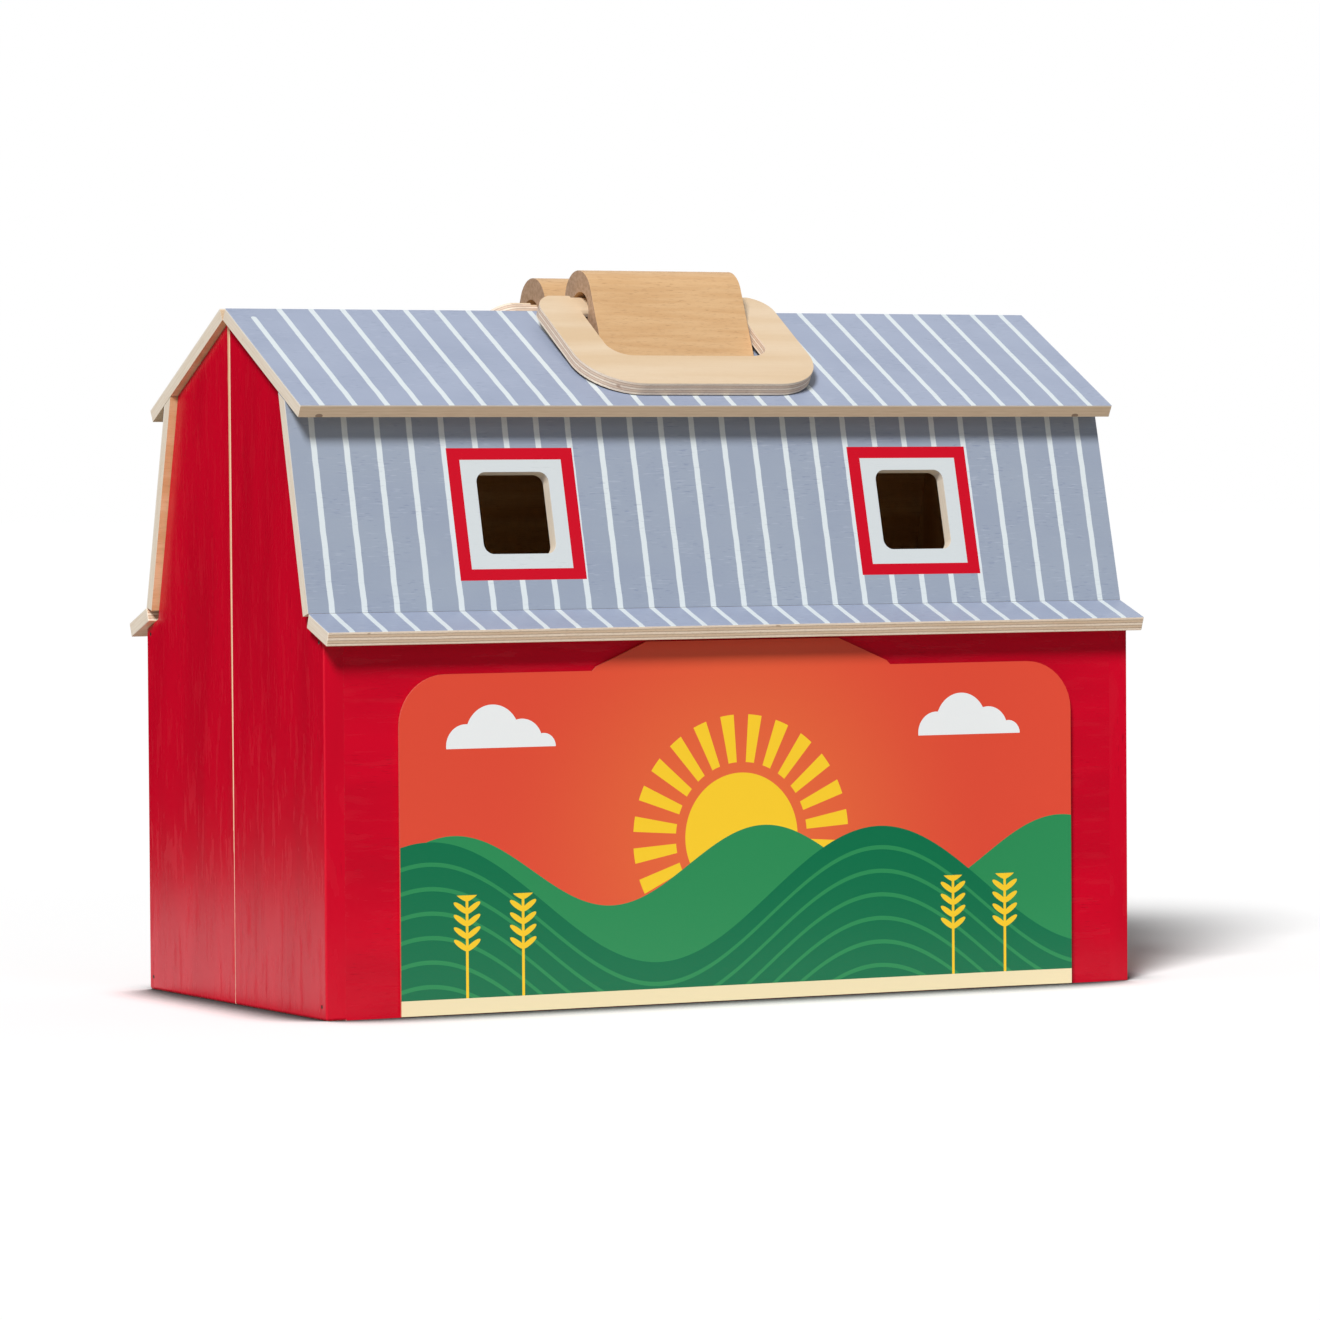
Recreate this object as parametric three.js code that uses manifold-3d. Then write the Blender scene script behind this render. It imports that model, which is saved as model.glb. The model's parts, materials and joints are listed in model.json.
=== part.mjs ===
// Folding wooden toy barn: two half-barns hinged together along one gable end.
// Millimetres, +Z up. X runs along the ridge, the front wall faces -Y, the hinge is at the +X end.
// The origin is the middle of the footprint, on the surface that the barn stands on.
import * as THREE from 'three';
import { mergeVertices } from 'three/addons/utils/BufferGeometryUtils.js';
import Module from 'manifold-3d';

const wasm = await Module();
wasm.setup();

// Overall shell of one half-barn, measured out from the middle plane between the halves
const houseLength = 343;
const halfDepth = 83;
const stallCeiling = 133;
const kneeRise = 6.5;
const kneeSetback = 6.7;
const ridgeRise = 114.6;
const upperPitch = THREE.MathUtils.degToRad(28.66);
const steepLean = THREE.MathUtils.degToRad(14.1);
const eaveOverhang = 14;
const flareRun = 17.5;
const flareDrop = 6.5;
const freeOverhang = 2.8;
const hingeOverhang = 1.5;

// Boards
const roofThickness = 5;
const flareThickness = 5.6;
const wallThickness = 8;
const gableThickness = 8;
const floorThickness = 9;
const loftThickness = 9;
const dividerThickness = 8;
const lowerBays = 3;

// Clearances
const seamGap = 0.4;
const glueGap = 0.2;
const runningGap = 0.3;
const cutOverrun = 4;

// Windows
const windowWidth = 34;
const windowHeight = 40;
const windowSill = 59;
const windowCorner = 2;
const atticWidth = 30;
const atticHeight = 31.4;
const atticSill = 21.4;
const atticCorner = 4;
const atticSpread = 85.2;

// Sliding doors, which run inside the long walls
const doorwayWidth = 45;
const doorwayHead = 11;
const doorwayStep = 2;
const doorwayInset = 1;
const doorThickness = 4.2;
const doorLap = 3;
const fingerNotch = 9;
const fingerHeight = 62;
const railDepth = 9;
const railHeight = 7;
const railLip = 3.6;
const railBase = 2.6;

// Carrying handles: a plywood ring whose bar turns in the channel of a block on the roof
const frontBlockCentre = 0.15;
const frontRingCentre = -0.8;
const rearBlockCentre = -2.85;
const rearRingCentre = -3.4;
const rearHandleShift = 4;
const blockLength = 65.3;
const blockFoot = 40.6;
const headRadius = 11.2;
const headCentreDown = 11.8;
const headCentreUp = 9.5;
const pivotDown = 14.2;
const pivotUp = 6.9;
const channelDown = 15.2;
const channelUp = 6.5;
const channelRadius = 7.2;
const ringLift = 0.4;
const ringThickness = 5;
const ringWidth = 101.2;
const ringReach = 59.1;
const ringTopCorner = 11;
const ringBottomCorner = 22;
const ringSideBar = 16.3;
const ringEndBar = 20.4;
const ringInnerCorner = 9;
const ringBarWidth = 11.6;
const handleScrewInset = 11;
const handleScrewDown = 27.5;
const handleScrewRadius = 1.6;
const handleScrewHead = 3.4;
const handleScrewHeadHeight = 2;
const handleScrewBite = 6;

// Full-height hinge of the gable ends
const pinOffset = 2.4;
const pinRadius = 1;
const pinHead = 1.6;
const pinHeadHeight = 1;
const knuckleRadius = 2.1;
const hingeBottom = 12;
const hingeHeadroom = 21.1;
const knuckleCount = 20;
const leafThickness = 0.8;
const leafWidth = 11;
const leafScrewRadius = 1;
const leafScrewHead = 1.9;
const leafScrewHeadHeight = 0.6;
const leafScrewBite = 5;
const leafScrewCount = 4;
const screwCrownShare = 0.8;
const webSinkShare = 0.25;

// Stall board, ladder and display card
const stallBoardHeight = 70;
const stallBoardThickness = 6;
const stallBoardInset = 2;
const ladderHeadroom = 8.8;
const ladderWidth = 30;
const ladderThickness = 4;
const ladderRail = 5;
const ladderRung = 5;
const ladderGaps = 6;
const ladderLean = THREE.MathUtils.degToRad(24);
const ladderFromDivider = 6;
const cardThickness = 1;
const cardWidth = 286.2;
const cardCentre = 1.2;
const cardCorner = 19;
const cardTuckGap = 3.5;
const cardArchDrop = 10.5;
const cardArchFoot = 62;
const cardArchHead = 41;
const cardArchLip = 1.6;

// Facets of round shapes
const fineSegments = 24;
const coarseSegments = 12;
const cornerSegments = 5;

// Finishes
const redPaint = { color: 0xc41428, roughness: 0.4, metalness: 0 };
const bluePaint = { color: 0xa5afc8, roughness: 0.5, metalness: 0 };
const pine = { color: 0xe3c48f, roughness: 0.55, metalness: 0 };
const plywood = { color: 0xead0a4, roughness: 0.5, metalness: 0 };
const maple = { color: 0xdeb487, roughness: 0.45, metalness: 0 };
const brass = { color: 0xc9a85a, roughness: 0.3, metalness: 1 };
const steel = { color: 0xb9bcc0, roughness: 0.3, metalness: 1 };
const board = { color: 0xde4830, roughness: 0.5, metalness: 0 };

// Lines in the cross-section of a half, where u is the reach out from the middle plane and v the height
const seamHalf = seamGap / 2;
const loftTop = stallCeiling + loftThickness;
const flareSlope = Math.atan2(flareDrop, flareRun);

function vec(u, v) {
  return new THREE.Vector2(u, v);
}

function along(start, direction, distance) {
  return start.clone().addScaledVector(direction, distance);
}

const slopeDown = vec(Math.cos(upperPitch), -Math.sin(upperPitch));
const slopeOut = vec(Math.sin(upperPitch), Math.cos(upperPitch));
const steepUp = vec(-Math.sin(steepLean), Math.cos(steepLean));
const steepOut = vec(Math.cos(steepLean), Math.sin(steepLean));
const flareDown = vec(Math.cos(flareSlope), -Math.sin(flareSlope));
const flareOut = vec(Math.sin(flareSlope), Math.cos(flareSlope));
const breakPoint = vec(halfDepth - kneeSetback, loftTop + kneeRise);
const ridgePoint = vec(0, breakPoint.y + ridgeRise);
const flareTip = breakPoint.clone().add(vec(flareRun, -flareDrop));

// A roof line moved inwards by a depth, as a point and a direction
function lineUnder(point, direction, outward, depth) {
  return { start: along(point, outward, -depth), direction };
}

function upperUnder(depth) {
  return lineUnder(ridgePoint, slopeDown, slopeOut, depth);
}

function steepUnder(depth) {
  return lineUnder(breakPoint, steepUp, steepOut, depth);
}

function flareUnder(depth) {
  return lineUnder(breakPoint, flareDown, flareOut, depth);
}

function crossing(first, second) {
  const gap = second.start.clone().sub(first.start);
  const turn = first.direction.cross(second.direction);
  return along(first.start, first.direction, gap.cross(second.direction) / turn);
}

function atReach(line, reach) {
  return along(line.start, line.direction, (reach - line.start.x) / line.direction.x);
}

function atHeight(line, height) {
  return along(line.start, line.direction, (height - line.start.y) / line.direction.y);
}

// Places that several pieces share
const inner = { face: halfDepth - wallThickness, length: houseLength - 2 * gableThickness };
const bayWidth = (inner.length - (lowerBays - 1) * dividerThickness) / lowerBays;
const dividerCentre = (bayWidth + dividerThickness) / 2;
const barSweep = ringBarWidth / 2;
const ringHalfPlate = ringThickness / 2;
const ringInnerHalf = ringWidth / 2 - ringSideBar;
const ringInnerReach = ringReach - ringEndBar;
const ringTilt = Math.asin((pivotUp - ringLift) / Math.hypot(ringReach, ringHalfPlate))
  - Math.atan2(ringHalfPlate, ringReach);
const hingeX = houseLength / 2 + pinOffset;
const hingeTop = ridgePoint.y - hingeHeadroom;
const ladderRise = stallCeiling - ladderHeadroom - floorThickness - runningGap;
const ladderLength = (ladderRise - ladderThickness * Math.sin(ladderLean)) / Math.cos(ladderLean);

// Solids: closed geometry in, closed geometry out
function solidOf(geometry) {
  const bare = geometry.clone();
  for (const name of Object.keys(bare.attributes)) {
    if (name !== 'position') bare.deleteAttribute(name);
  }
  const welded = mergeVertices(bare);
  const vertProperties = new Float32Array(welded.attributes.position.array);
  const triVerts = new Uint32Array(welded.index.array);
  return new wasm.Manifold(new wasm.Mesh({ numProp: 3, vertProperties, triVerts }));
}

function geometryOf(solid) {
  const mesh = solid.getMesh();
  const geometry = new THREE.BufferGeometry();
  geometry.setAttribute('position', new THREE.BufferAttribute(mesh.vertProperties, 3));
  geometry.setIndex(new THREE.BufferAttribute(mesh.triVerts, 1));
  return geometry;
}

function carved(geometry, cutters) {
  let solid = solidOf(geometry);
  for (const cutter of cutters) solid = solid.subtract(solidOf(cutter));
  return geometryOf(solid);
}

function joined(geometries) {
  let solid = solidOf(geometries[0]);
  for (const geometry of geometries.slice(1)) solid = solid.add(solidOf(geometry));
  return geometryOf(solid);
}

function overlapOf(first, second) {
  return geometryOf(solidOf(first).intersect(solidOf(second)));
}

function extruded(shape, depth, segments) {
  return new THREE.ExtrudeGeometry(shape, { depth, bevelEnabled: false, curveSegments: segments });
}

// A cross-section in Y and Z, run along X between two places
function alongX(outline, start, end, segments = cornerSegments) {
  const shape = outline instanceof THREE.Shape ? outline : new THREE.Shape(outline);
  const geometry = extruded(shape, end - start, segments);
  const axes = new THREE.Matrix4().makeBasis(
    new THREE.Vector3(0, 1, 0), new THREE.Vector3(0, 0, 1), new THREE.Vector3(1, 0, 0));
  geometry.applyMatrix4(axes);
  geometry.translate(start, 0, 0);
  return geometry;
}

// An outline in X and Z, run along Y between two places
function alongY(shape, start, end, segments = cornerSegments) {
  const geometry = extruded(shape, end - start, segments);
  const axes = new THREE.Matrix4().makeBasis(
    new THREE.Vector3(1, 0, 0), new THREE.Vector3(0, 0, 1), new THREE.Vector3(0, -1, 0));
  geometry.applyMatrix4(axes);
  geometry.translate(0, end, 0);
  return geometry;
}

function box(x0, x1, y0, y1, z0, z1) {
  const geometry = new THREE.BoxGeometry(x1 - x0, y1 - y0, z1 - z0);
  geometry.translate((x0 + x1) / 2, (y0 + y1) / 2, (z0 + z1) / 2);
  return geometry;
}

function roundedRectangle(x0, x1, y0, y1, lowCorner, highCorner = lowCorner) {
  const shape = new THREE.Shape();
  const quarter = Math.PI / 2;
  shape.absarc(x1 - lowCorner, y0 + lowCorner, lowCorner, -quarter, 0, false);
  shape.absarc(x1 - highCorner, y1 - highCorner, highCorner, 0, quarter, false);
  shape.absarc(x0 + highCorner, y1 - highCorner, highCorner, quarter, 2 * quarter, false);
  shape.absarc(x0 + lowCorner, y0 + lowCorner, lowCorner, 2 * quarter, 3 * quarter, false);
  return shape;
}

// A turned piece: radius and height pairs from the axis out and back to the axis
function turned(profile, segments) {
  const points = profile.map(([radius, height]) => vec(radius, height));
  return new THREE.LatheGeometry(points, segments);
}

function part(name, geometry, finish) {
  const mesh = new THREE.Mesh(geometry, new THREE.MeshStandardMaterial(finish));
  mesh.name = name;
  return mesh;
}

// The space under the roof boards, from the wall's outer face to the seam
function roofOutline(clearance) {
  const upper = upperUnder(roofThickness + clearance);
  const steep = steepUnder(roofThickness + clearance);
  const flare = flareUnder(flareThickness + clearance);
  return {
    wallHead: atReach(flare, halfDepth),
    innerHead: atReach(flare, inner.face),
    knee: crossing(flare, steep),
    shoulder: crossing(steep, upper),
    apex: atReach(upper, seamHalf),
    steep,
  };
}

const underRoof = roofOutline(glueGap);

// Long wall with its doorway and windows
function exteriorWall(plan) {
  const start = -inner.length / 2;
  const outline = [
    vec(inner.face, 0), vec(halfDepth, 0), underRoof.wallHead, underRoof.innerHead,
  ];
  const cutDepth = [inner.face - cutOverrun, halfDepth + cutOverrun];
  const cutters = plan.windows.map((centre) => alongY(
    roundedRectangle(centre - windowWidth / 2, centre + windowWidth / 2,
      windowSill, windowSill + windowHeight, windowCorner), ...cutDepth));
  const doorway = doorwaySpan(plan);
  cutters.push(alongY(
    roundedRectangle(doorway.low, doorway.high, floorThickness + doorwayStep,
      stallCeiling - doorwayHead, windowCorner), ...cutDepth));
  return carved(alongX(outline, start, -start), cutters);
}

function doorwaySpan(plan) {
  const near = plan.doorEdge + plan.doorSlide * doorwayInset;
  const far = near + plan.doorSlide * doorwayWidth;
  return { low: Math.min(near, far), high: Math.max(near, far) };
}

// Gable board of either end, with pilot holes for the hinge screws at the hinged end
function gable(end, pilots) {
  const outline = [
    vec(seamHalf, 0), vec(halfDepth, 0), underRoof.wallHead, underRoof.knee,
    underRoof.shoulder, underRoof.apex,
  ];
  const outside = end * houseLength / 2;
  const inside = end * inner.length / 2;
  return carved(alongX(outline, Math.min(outside, inside), Math.max(outside, inside)), pilots);
}

function shelf(bottom, thickness) {
  const half = inner.length / 2;
  return box(-half, half, seamHalf, inner.face, bottom, bottom + thickness);
}

function stallDivider(centre) {
  const half = dividerThickness / 2;
  return box(centre - half, centre + half, seamHalf, inner.face, floorThickness, stallCeiling);
}

function loftDivider() {
  const outline = [
    vec(seamHalf, loftTop), atHeight(underRoof.steep, loftTop),
    underRoof.shoulder, underRoof.apex,
  ];
  return alongX(outline, -dividerThickness / 2, dividerThickness / 2);
}

// Roof boards, which pass the gables by a different amount at each end
function roofSpan(plan) {
  const free = houseLength / 2 + freeOverhang;
  const hinged = houseLength / 2 + hingeOverhang;
  return plan.freeEnd > 0 ? [-hinged, free] : [-free, hinged];
}

function upperRoof(plan) {
  const under = upperUnder(roofThickness);
  const innerTop = atReach(under, seamHalf);
  const wallTop = crossing(steepUnder(0), upperUnder(roofThickness + glueGap));
  const eave = atReach(upperUnder(0), wallTop.x + eaveOverhang);
  const outline = [
    innerTop, along(innerTop, slopeOut, roofThickness), eave, along(eave, slopeOut, -roofThickness),
  ];
  const screws = handleScrewPlaces(plan).map((x) => {
    const hole = new THREE.CylinderGeometry(
      handleScrewRadius + runningGap, handleScrewRadius + runningGap,
      roofThickness + 2 * cutOverrun, coarseSegments);
    hole.rotateX(Math.PI / 2 - upperPitch);
    const screwDown = handleScrewDown + plan.handleShift;
    const middle = along(along(ridgePoint, slopeDown, screwDown), slopeOut, -roofThickness / 2);
    hole.translate(x, middle.x, middle.y);
    return hole;
  });
  return carved(alongX(outline.reverse(), ...roofSpan(plan)), screws);
}

function steepRoof(plan) {
  const top = upperUnder(roofThickness + glueGap);
  const outline = [
    breakPoint, crossing(steepUnder(0), top), crossing(steepUnder(roofThickness), top),
    along(breakPoint, steepOut, -roofThickness),
  ];
  const cutters = [-atticSpread, atticSpread].map((centre) => {
    const hole = extruded(
      roundedRectangle(centre - atticWidth / 2, centre + atticWidth / 2,
        atticSill, atticSill + atticHeight, atticCorner),
      roofThickness + 2 * cutOverrun, cornerSegments);
    hole.translate(0, 0, -roofThickness / 2 - cutOverrun);
    hole.rotateX(Math.PI / 2 + steepLean);
    const middle = along(breakPoint, steepOut, -roofThickness / 2);
    hole.translate(0, middle.x, middle.y);
    return hole;
  });
  return carved(alongX(outline, ...roofSpan(plan)), cutters);
}

function flaredEave(plan) {
  const head = along(breakPoint, flareDown, glueGap);
  const outline = [
    head, along(head, flareOut, -flareThickness), along(flareTip, flareOut, -flareThickness), flareTip,
  ];
  return alongX(outline, ...roofSpan(plan));
}

// Sliding door with a half-round finger notch in its leading edge, and the two rails that guide it
function slidingDoor(plan) {
  const lead = plan.doorEdge + plan.doorSlide * runningGap;
  const trail = lead + plan.doorSlide * (doorwayWidth + doorLap);
  const bottom = floorThickness + railBase + runningGap;
  const top = stallCeiling - railBase - runningGap;
  const outside = inner.face - runningGap;
  const panel = box(Math.min(lead, trail), Math.max(lead, trail),
    outside - doorThickness, outside, bottom, top);
  const notch = new THREE.CylinderGeometry(
    fingerNotch, fingerNotch, doorThickness + 2 * cutOverrun, fineSegments);
  notch.translate(lead, outside - doorThickness / 2, bottom + fingerHeight);
  return carved(panel, [notch]);
}

function doorRail(plan, bottom, upwards) {
  const far = plan.doorEdge + plan.doorSlide * bayWidth;
  const span = [Math.min(plan.doorEdge, far), Math.max(plan.doorEdge, far)];
  const foot = inner.face - railDepth;
  const base = upwards ? bottom : bottom + railHeight;
  const tip = upwards ? bottom + railHeight : bottom;
  const shelfEdge = upwards ? base + railBase : base - railBase;
  const outline = [
    vec(foot, base), vec(inner.face, base), vec(inner.face, shelfEdge),
    vec(foot + railLip, shelfEdge), vec(foot + railLip, tip), vec(foot, tip),
  ];
  return alongX(upwards ? outline : outline.reverse(), ...span);
}

// Handle parts, in the roof's own frame: Y runs down the slope and Z stands off it
function handleScrewPlaces(plan) {
  const reach = blockLength / 2 - handleScrewInset;
  return [-1, 1].map((side) => plan.blockCentre + side * reach);
}

function blockOutline() {
  const centre = vec(headCentreDown, headCentreUp);
  const foot = vec(blockFoot, runningGap);
  const reach = foot.clone().sub(centre);
  const touch = Math.atan2(reach.y, reach.x) + Math.acos(headRadius / reach.length());
  const backAngle = Math.PI + upperPitch;
  const back = along(centre, vec(Math.cos(backAngle), Math.sin(backAngle)), headRadius);
  const drop = (back.y - runningGap) / Math.cos(upperPitch);
  const shape = new THREE.Shape();
  shape.moveTo(channelDown + channelRadius, runningGap);
  shape.lineTo(foot.x, foot.y);
  shape.absarc(centre.x, centre.y, headRadius, touch, backAngle, false);
  shape.lineTo(back.x + drop * Math.sin(upperPitch), runningGap);
  shape.lineTo(channelDown - channelRadius, runningGap);
  shape.absarc(channelDown, channelUp, channelRadius, Math.PI, 0, true);
  return shape;
}

function handleBlock(plan) {
  const start = plan.blockCentre - blockLength / 2;
  const body = alongX(blockOutline(), start, start + blockLength, fineSegments);
  const pilots = handleScrewPlaces(plan).map((x) => {
    const pilot = new THREE.CylinderGeometry(
      handleScrewRadius + runningGap, handleScrewRadius + runningGap,
      2 * (handleScrewBite + runningGap), coarseSegments);
    pilot.rotateX(Math.PI / 2);
    pilot.translate(x, handleScrewDown, 0);
    return pilot;
  });
  return carved(body, pilots);
}

// The ring in its own frame: the bar turns about the X axis and the plate reaches out along Y.
// The heel of each arm follows a circle round that axis, so the ring turns clear of the roof.
function heelOutline() {
  const turn = Math.asin(ringHalfPlate / barSweep);
  const shape = new THREE.Shape();
  shape.moveTo(ringReach, -ringHalfPlate);
  shape.lineTo(ringReach, ringHalfPlate);
  shape.absarc(0, 0, barSweep, Math.PI - turn, Math.PI + turn, false);
  return shape;
}

function handleRing(plan) {
  const half = ringWidth / 2;
  const outer = roundedRectangle(-half, half, -ringReach, barSweep, ringBottomCorner, ringTopCorner);
  const plate = extruded(outer, ringThickness, cornerSegments + 1);
  plate.rotateX(Math.PI);
  plate.translate(0, 0, ringHalfPlate);
  const opening = extruded(
    roundedRectangle(-ringInnerHalf, ringInnerHalf, -ringInnerReach,
      barSweep + ringInnerCorner + cutOverrun, ringInnerCorner),
    ringThickness + 2 * cutOverrun, cornerSegments);
  opening.rotateX(Math.PI);
  opening.translate(0, 0, ringHalfPlate + cutOverrun);
  const heel = alongX(heelOutline(), -half, half, cornerSegments);
  const arms = carved(overlapOf(plate, heel), [opening]);
  const barShape = roundedRectangle(-barSweep, barSweep, -ringHalfPlate, ringHalfPlate, ringHalfPlate);
  const bar = alongX(barShape, -ringInnerHalf - ringHalfPlate, ringInnerHalf + ringHalfPlate);
  const ring = joined([arms, bar]);
  ring.rotateX(-ringTilt);
  ring.translate(plan.ringCentre, pivotDown, pivotUp);
  return ring;
}

function handleScrew() {
  const headBottom = -roofThickness - runningGap - handleScrewHeadHeight;
  const screw = turned([
    [0, headBottom], [handleScrewHead, headBottom],
    [handleScrewHead, -roofThickness - runningGap],
    [handleScrewRadius, -roofThickness - runningGap],
    [handleScrewRadius, handleScrewBite], [0, handleScrewBite],
  ], coarseSegments);
  screw.rotateX(Math.PI / 2);
  return screw;
}

function handle(plan) {
  const frame = new THREE.Group();
  const start = along(ridgePoint, slopeDown, plan.handleShift);
  frame.position.set(0, start.x, start.y);
  frame.rotation.x = -upperPitch;
  frame.add(part(`${plan.name}_handle_block`, handleBlock(plan), maple));
  frame.add(part(`${plan.name}_handle_ring`, handleRing(plan), plywood));
  handleScrewPlaces(plan).forEach((x, index) => {
    const screw = part(`${plan.name}_handle_screw_${index + 1}`, handleScrew(), steel);
    screw.position.set(x, handleScrewDown, 0);
    frame.add(screw);
  });
  return frame;
}

// Hinge screws: places up the leaf, and the pilot holes that they need in a gable
function leafScrewHeights() {
  const pitch = (hingeTop - hingeBottom) / leafScrewCount;
  return Array.from({ length: leafScrewCount }, (_, index) => hingeBottom + (index + 1 / 2) * pitch);
}

const leafScrewReach = knuckleRadius + runningGap + (leafWidth - knuckleRadius - runningGap) / 2;

function screwBore(x, y, z, length) {
  const bore = new THREE.CylinderGeometry(
    leafScrewRadius + runningGap, leafScrewRadius + runningGap, length, coarseSegments);
  bore.rotateZ(Math.PI / 2);
  bore.translate(x, y, z);
  return bore;
}

function gablePilots(end) {
  const outside = end * houseLength / 2;
  return leafScrewHeights().map((z) => screwBore(
    outside, leafScrewReach, z, 2 * (leafScrewBite + runningGap)));
}

// One leaf lies on the gable at Y > 0 or Y < 0 and holds every second knuckle
function hingeLeaf(side, firstKnuckle) {
  const face = houseLength / 2;
  const near = knuckleRadius + runningGap;
  const plate = box(face, face + leafThickness, ...[side * near, side * leafWidth].sort((a, b) => a - b),
    hingeBottom, hingeTop);
  const pitch = (hingeTop - hingeBottom) / knuckleCount;
  const pieces = [plate];
  for (let index = firstKnuckle; index < knuckleCount; index += 2) {
    const low = hingeBottom + index * pitch + runningGap / 2;
    const high = low + pitch - runningGap;
    const barrel = new THREE.CylinderGeometry(knuckleRadius, knuckleRadius, high - low, coarseSegments);
    barrel.rotateX(Math.PI / 2);
    barrel.translate(hingeX, 0, (low + high) / 2);
    const web = box(face + leafThickness * webSinkShare, face + leafThickness,
      ...[0, side * (near + leafThickness)].sort((a, b) => a - b), low, high);
    pieces.push(barrel, web);
  }
  const bore = new THREE.CylinderGeometry(
    pinRadius + runningGap, pinRadius + runningGap, hingeTop - hingeBottom + 2 * cutOverrun,
    coarseSegments);
  bore.rotateX(Math.PI / 2);
  bore.translate(hingeX, 0, (hingeTop + hingeBottom) / 2);
  const holes = leafScrewHeights().map((z) => screwBore(
    face, side * leafScrewReach, z, 2 * (leafThickness + cutOverrun)));
  return carved(joined(pieces), [bore, ...holes]);
}

function leafScrew() {
  const seat = leafThickness + runningGap;
  const screw = turned([
    [0, -leafScrewBite], [leafScrewRadius, -leafScrewBite], [leafScrewRadius, seat],
    [leafScrewHead, seat], [leafScrewHead, seat + leafScrewHeadHeight / 2],
    [leafScrewHead * screwCrownShare, seat + leafScrewHeadHeight], [0, seat + leafScrewHeadHeight],
  ], coarseSegments);
  screw.rotateZ(-Math.PI / 2);
  return screw;
}

function hingePin() {
  const low = hingeBottom - runningGap;
  const high = hingeTop + runningGap;
  const pin = turned([
    [0, low - pinHeadHeight], [pinHead, low - pinHeadHeight], [pinHead, low], [pinRadius, low],
    [pinRadius, high], [pinHead, high], [pinHead, high + pinHeadHeight], [0, high + pinHeadHeight],
  ], coarseSegments);
  pin.rotateX(Math.PI / 2);
  return pin;
}

function hinge() {
  const group = new THREE.Group();
  group.add(part('front_hinge_leaf', hingeLeaf(-1, 0), brass));
  group.add(part('rear_hinge_leaf', hingeLeaf(1, 1), brass));
  const pin = part('hinge_pin', hingePin(), steel);
  pin.position.set(hingeX, 0, 0);
  group.add(pin);
  for (const [name, side] of [['front', -1], ['rear', 1]]) {
    leafScrewHeights().forEach((z, index) => {
      const screw = part(`${name}_hinge_screw_${index + 1}`, leafScrew(), brass);
      screw.position.set(houseLength / 2, side * leafScrewReach, z);
      group.add(screw);
    });
  }
  return group;
}

// Half-height board across the open side of the hinged bay of the front half
function stallBoard() {
  const low = -inner.length / 2;
  return box(low, low + bayWidth, seamHalf + stallBoardInset,
    seamHalf + stallBoardInset + stallBoardThickness, floorThickness, floorThickness + stallBoardHeight);
}

// Ladder cut from one piece of plywood, leaning on the wall inside the free bay of the front half
function ladderShape() {
  const half = ladderWidth / 2;
  const gapHalf = half - ladderRail;
  const pitch = (ladderLength - ladderRung) / ladderGaps;
  const shape = new THREE.Shape([
    vec(-half, 0), vec(-gapHalf, 0), vec(-gapHalf, pitch), vec(gapHalf, pitch), vec(gapHalf, 0),
    vec(half, 0), vec(half, ladderLength), vec(-half, ladderLength),
  ]);
  for (let index = 1; index < ladderGaps; index += 1) {
    const low = index * pitch + ladderRung;
    const high = (index + 1) * pitch;
    shape.holes.push(new THREE.Path([
      vec(-gapHalf, low), vec(-gapHalf, high), vec(gapHalf, high), vec(gapHalf, low),
    ]));
  }
  return shape;
}

function ladder(plan) {
  const mesh = part('ladder', alongY(ladderShape(), 0, ladderThickness), plywood);
  const reach = ladderLength * Math.sin(ladderLean) + ladderThickness * Math.cos(ladderLean);
  const footRise = runningGap + floorThickness;
  const bayStart = dividerCentre + dividerThickness / 2;
  mesh.position.set(plan.freeEnd * (bayStart + ladderFromDivider + ladderWidth / 2),
    inner.face - runningGap - reach, footRise + ladderThickness * Math.sin(ladderLean));
  mesh.rotation.x = -ladderLean;
  return mesh;
}

// Printed card that stands against the front wall
function displayCard() {
  const half = cardWidth / 2;
  const bottom = runningGap;
  const outside = -halfDepth - runningGap;
  const eaveLine = atReach(flareUnder(flareThickness), cardThickness - outside);
  const archTop = eaveLine.y - cardTuckGap;
  const shoulder = archTop - cardArchDrop;
  const shape = new THREE.Shape();
  shape.moveTo(-half, bottom);
  shape.lineTo(half, bottom);
  shape.absarc(half - cardCorner, shoulder - cardCorner, cardCorner, 0, Math.PI / 2, false);
  shape.lineTo(cardArchFoot + cardArchLip, shoulder);
  shape.lineTo(cardArchFoot, shoulder + cardArchLip);
  shape.lineTo(cardArchHead, archTop);
  shape.lineTo(-cardArchHead, archTop);
  shape.lineTo(-cardArchFoot, shoulder + cardArchLip);
  shape.lineTo(-cardArchFoot - cardArchLip, shoulder);
  shape.absarc(-half + cardCorner, shoulder - cardCorner, cardCorner, Math.PI / 2, Math.PI, false);
  const card = part('display_card', alongY(shape, outside - cardThickness, outside), board);
  card.position.x = cardCentre;
  return card;
}

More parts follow.
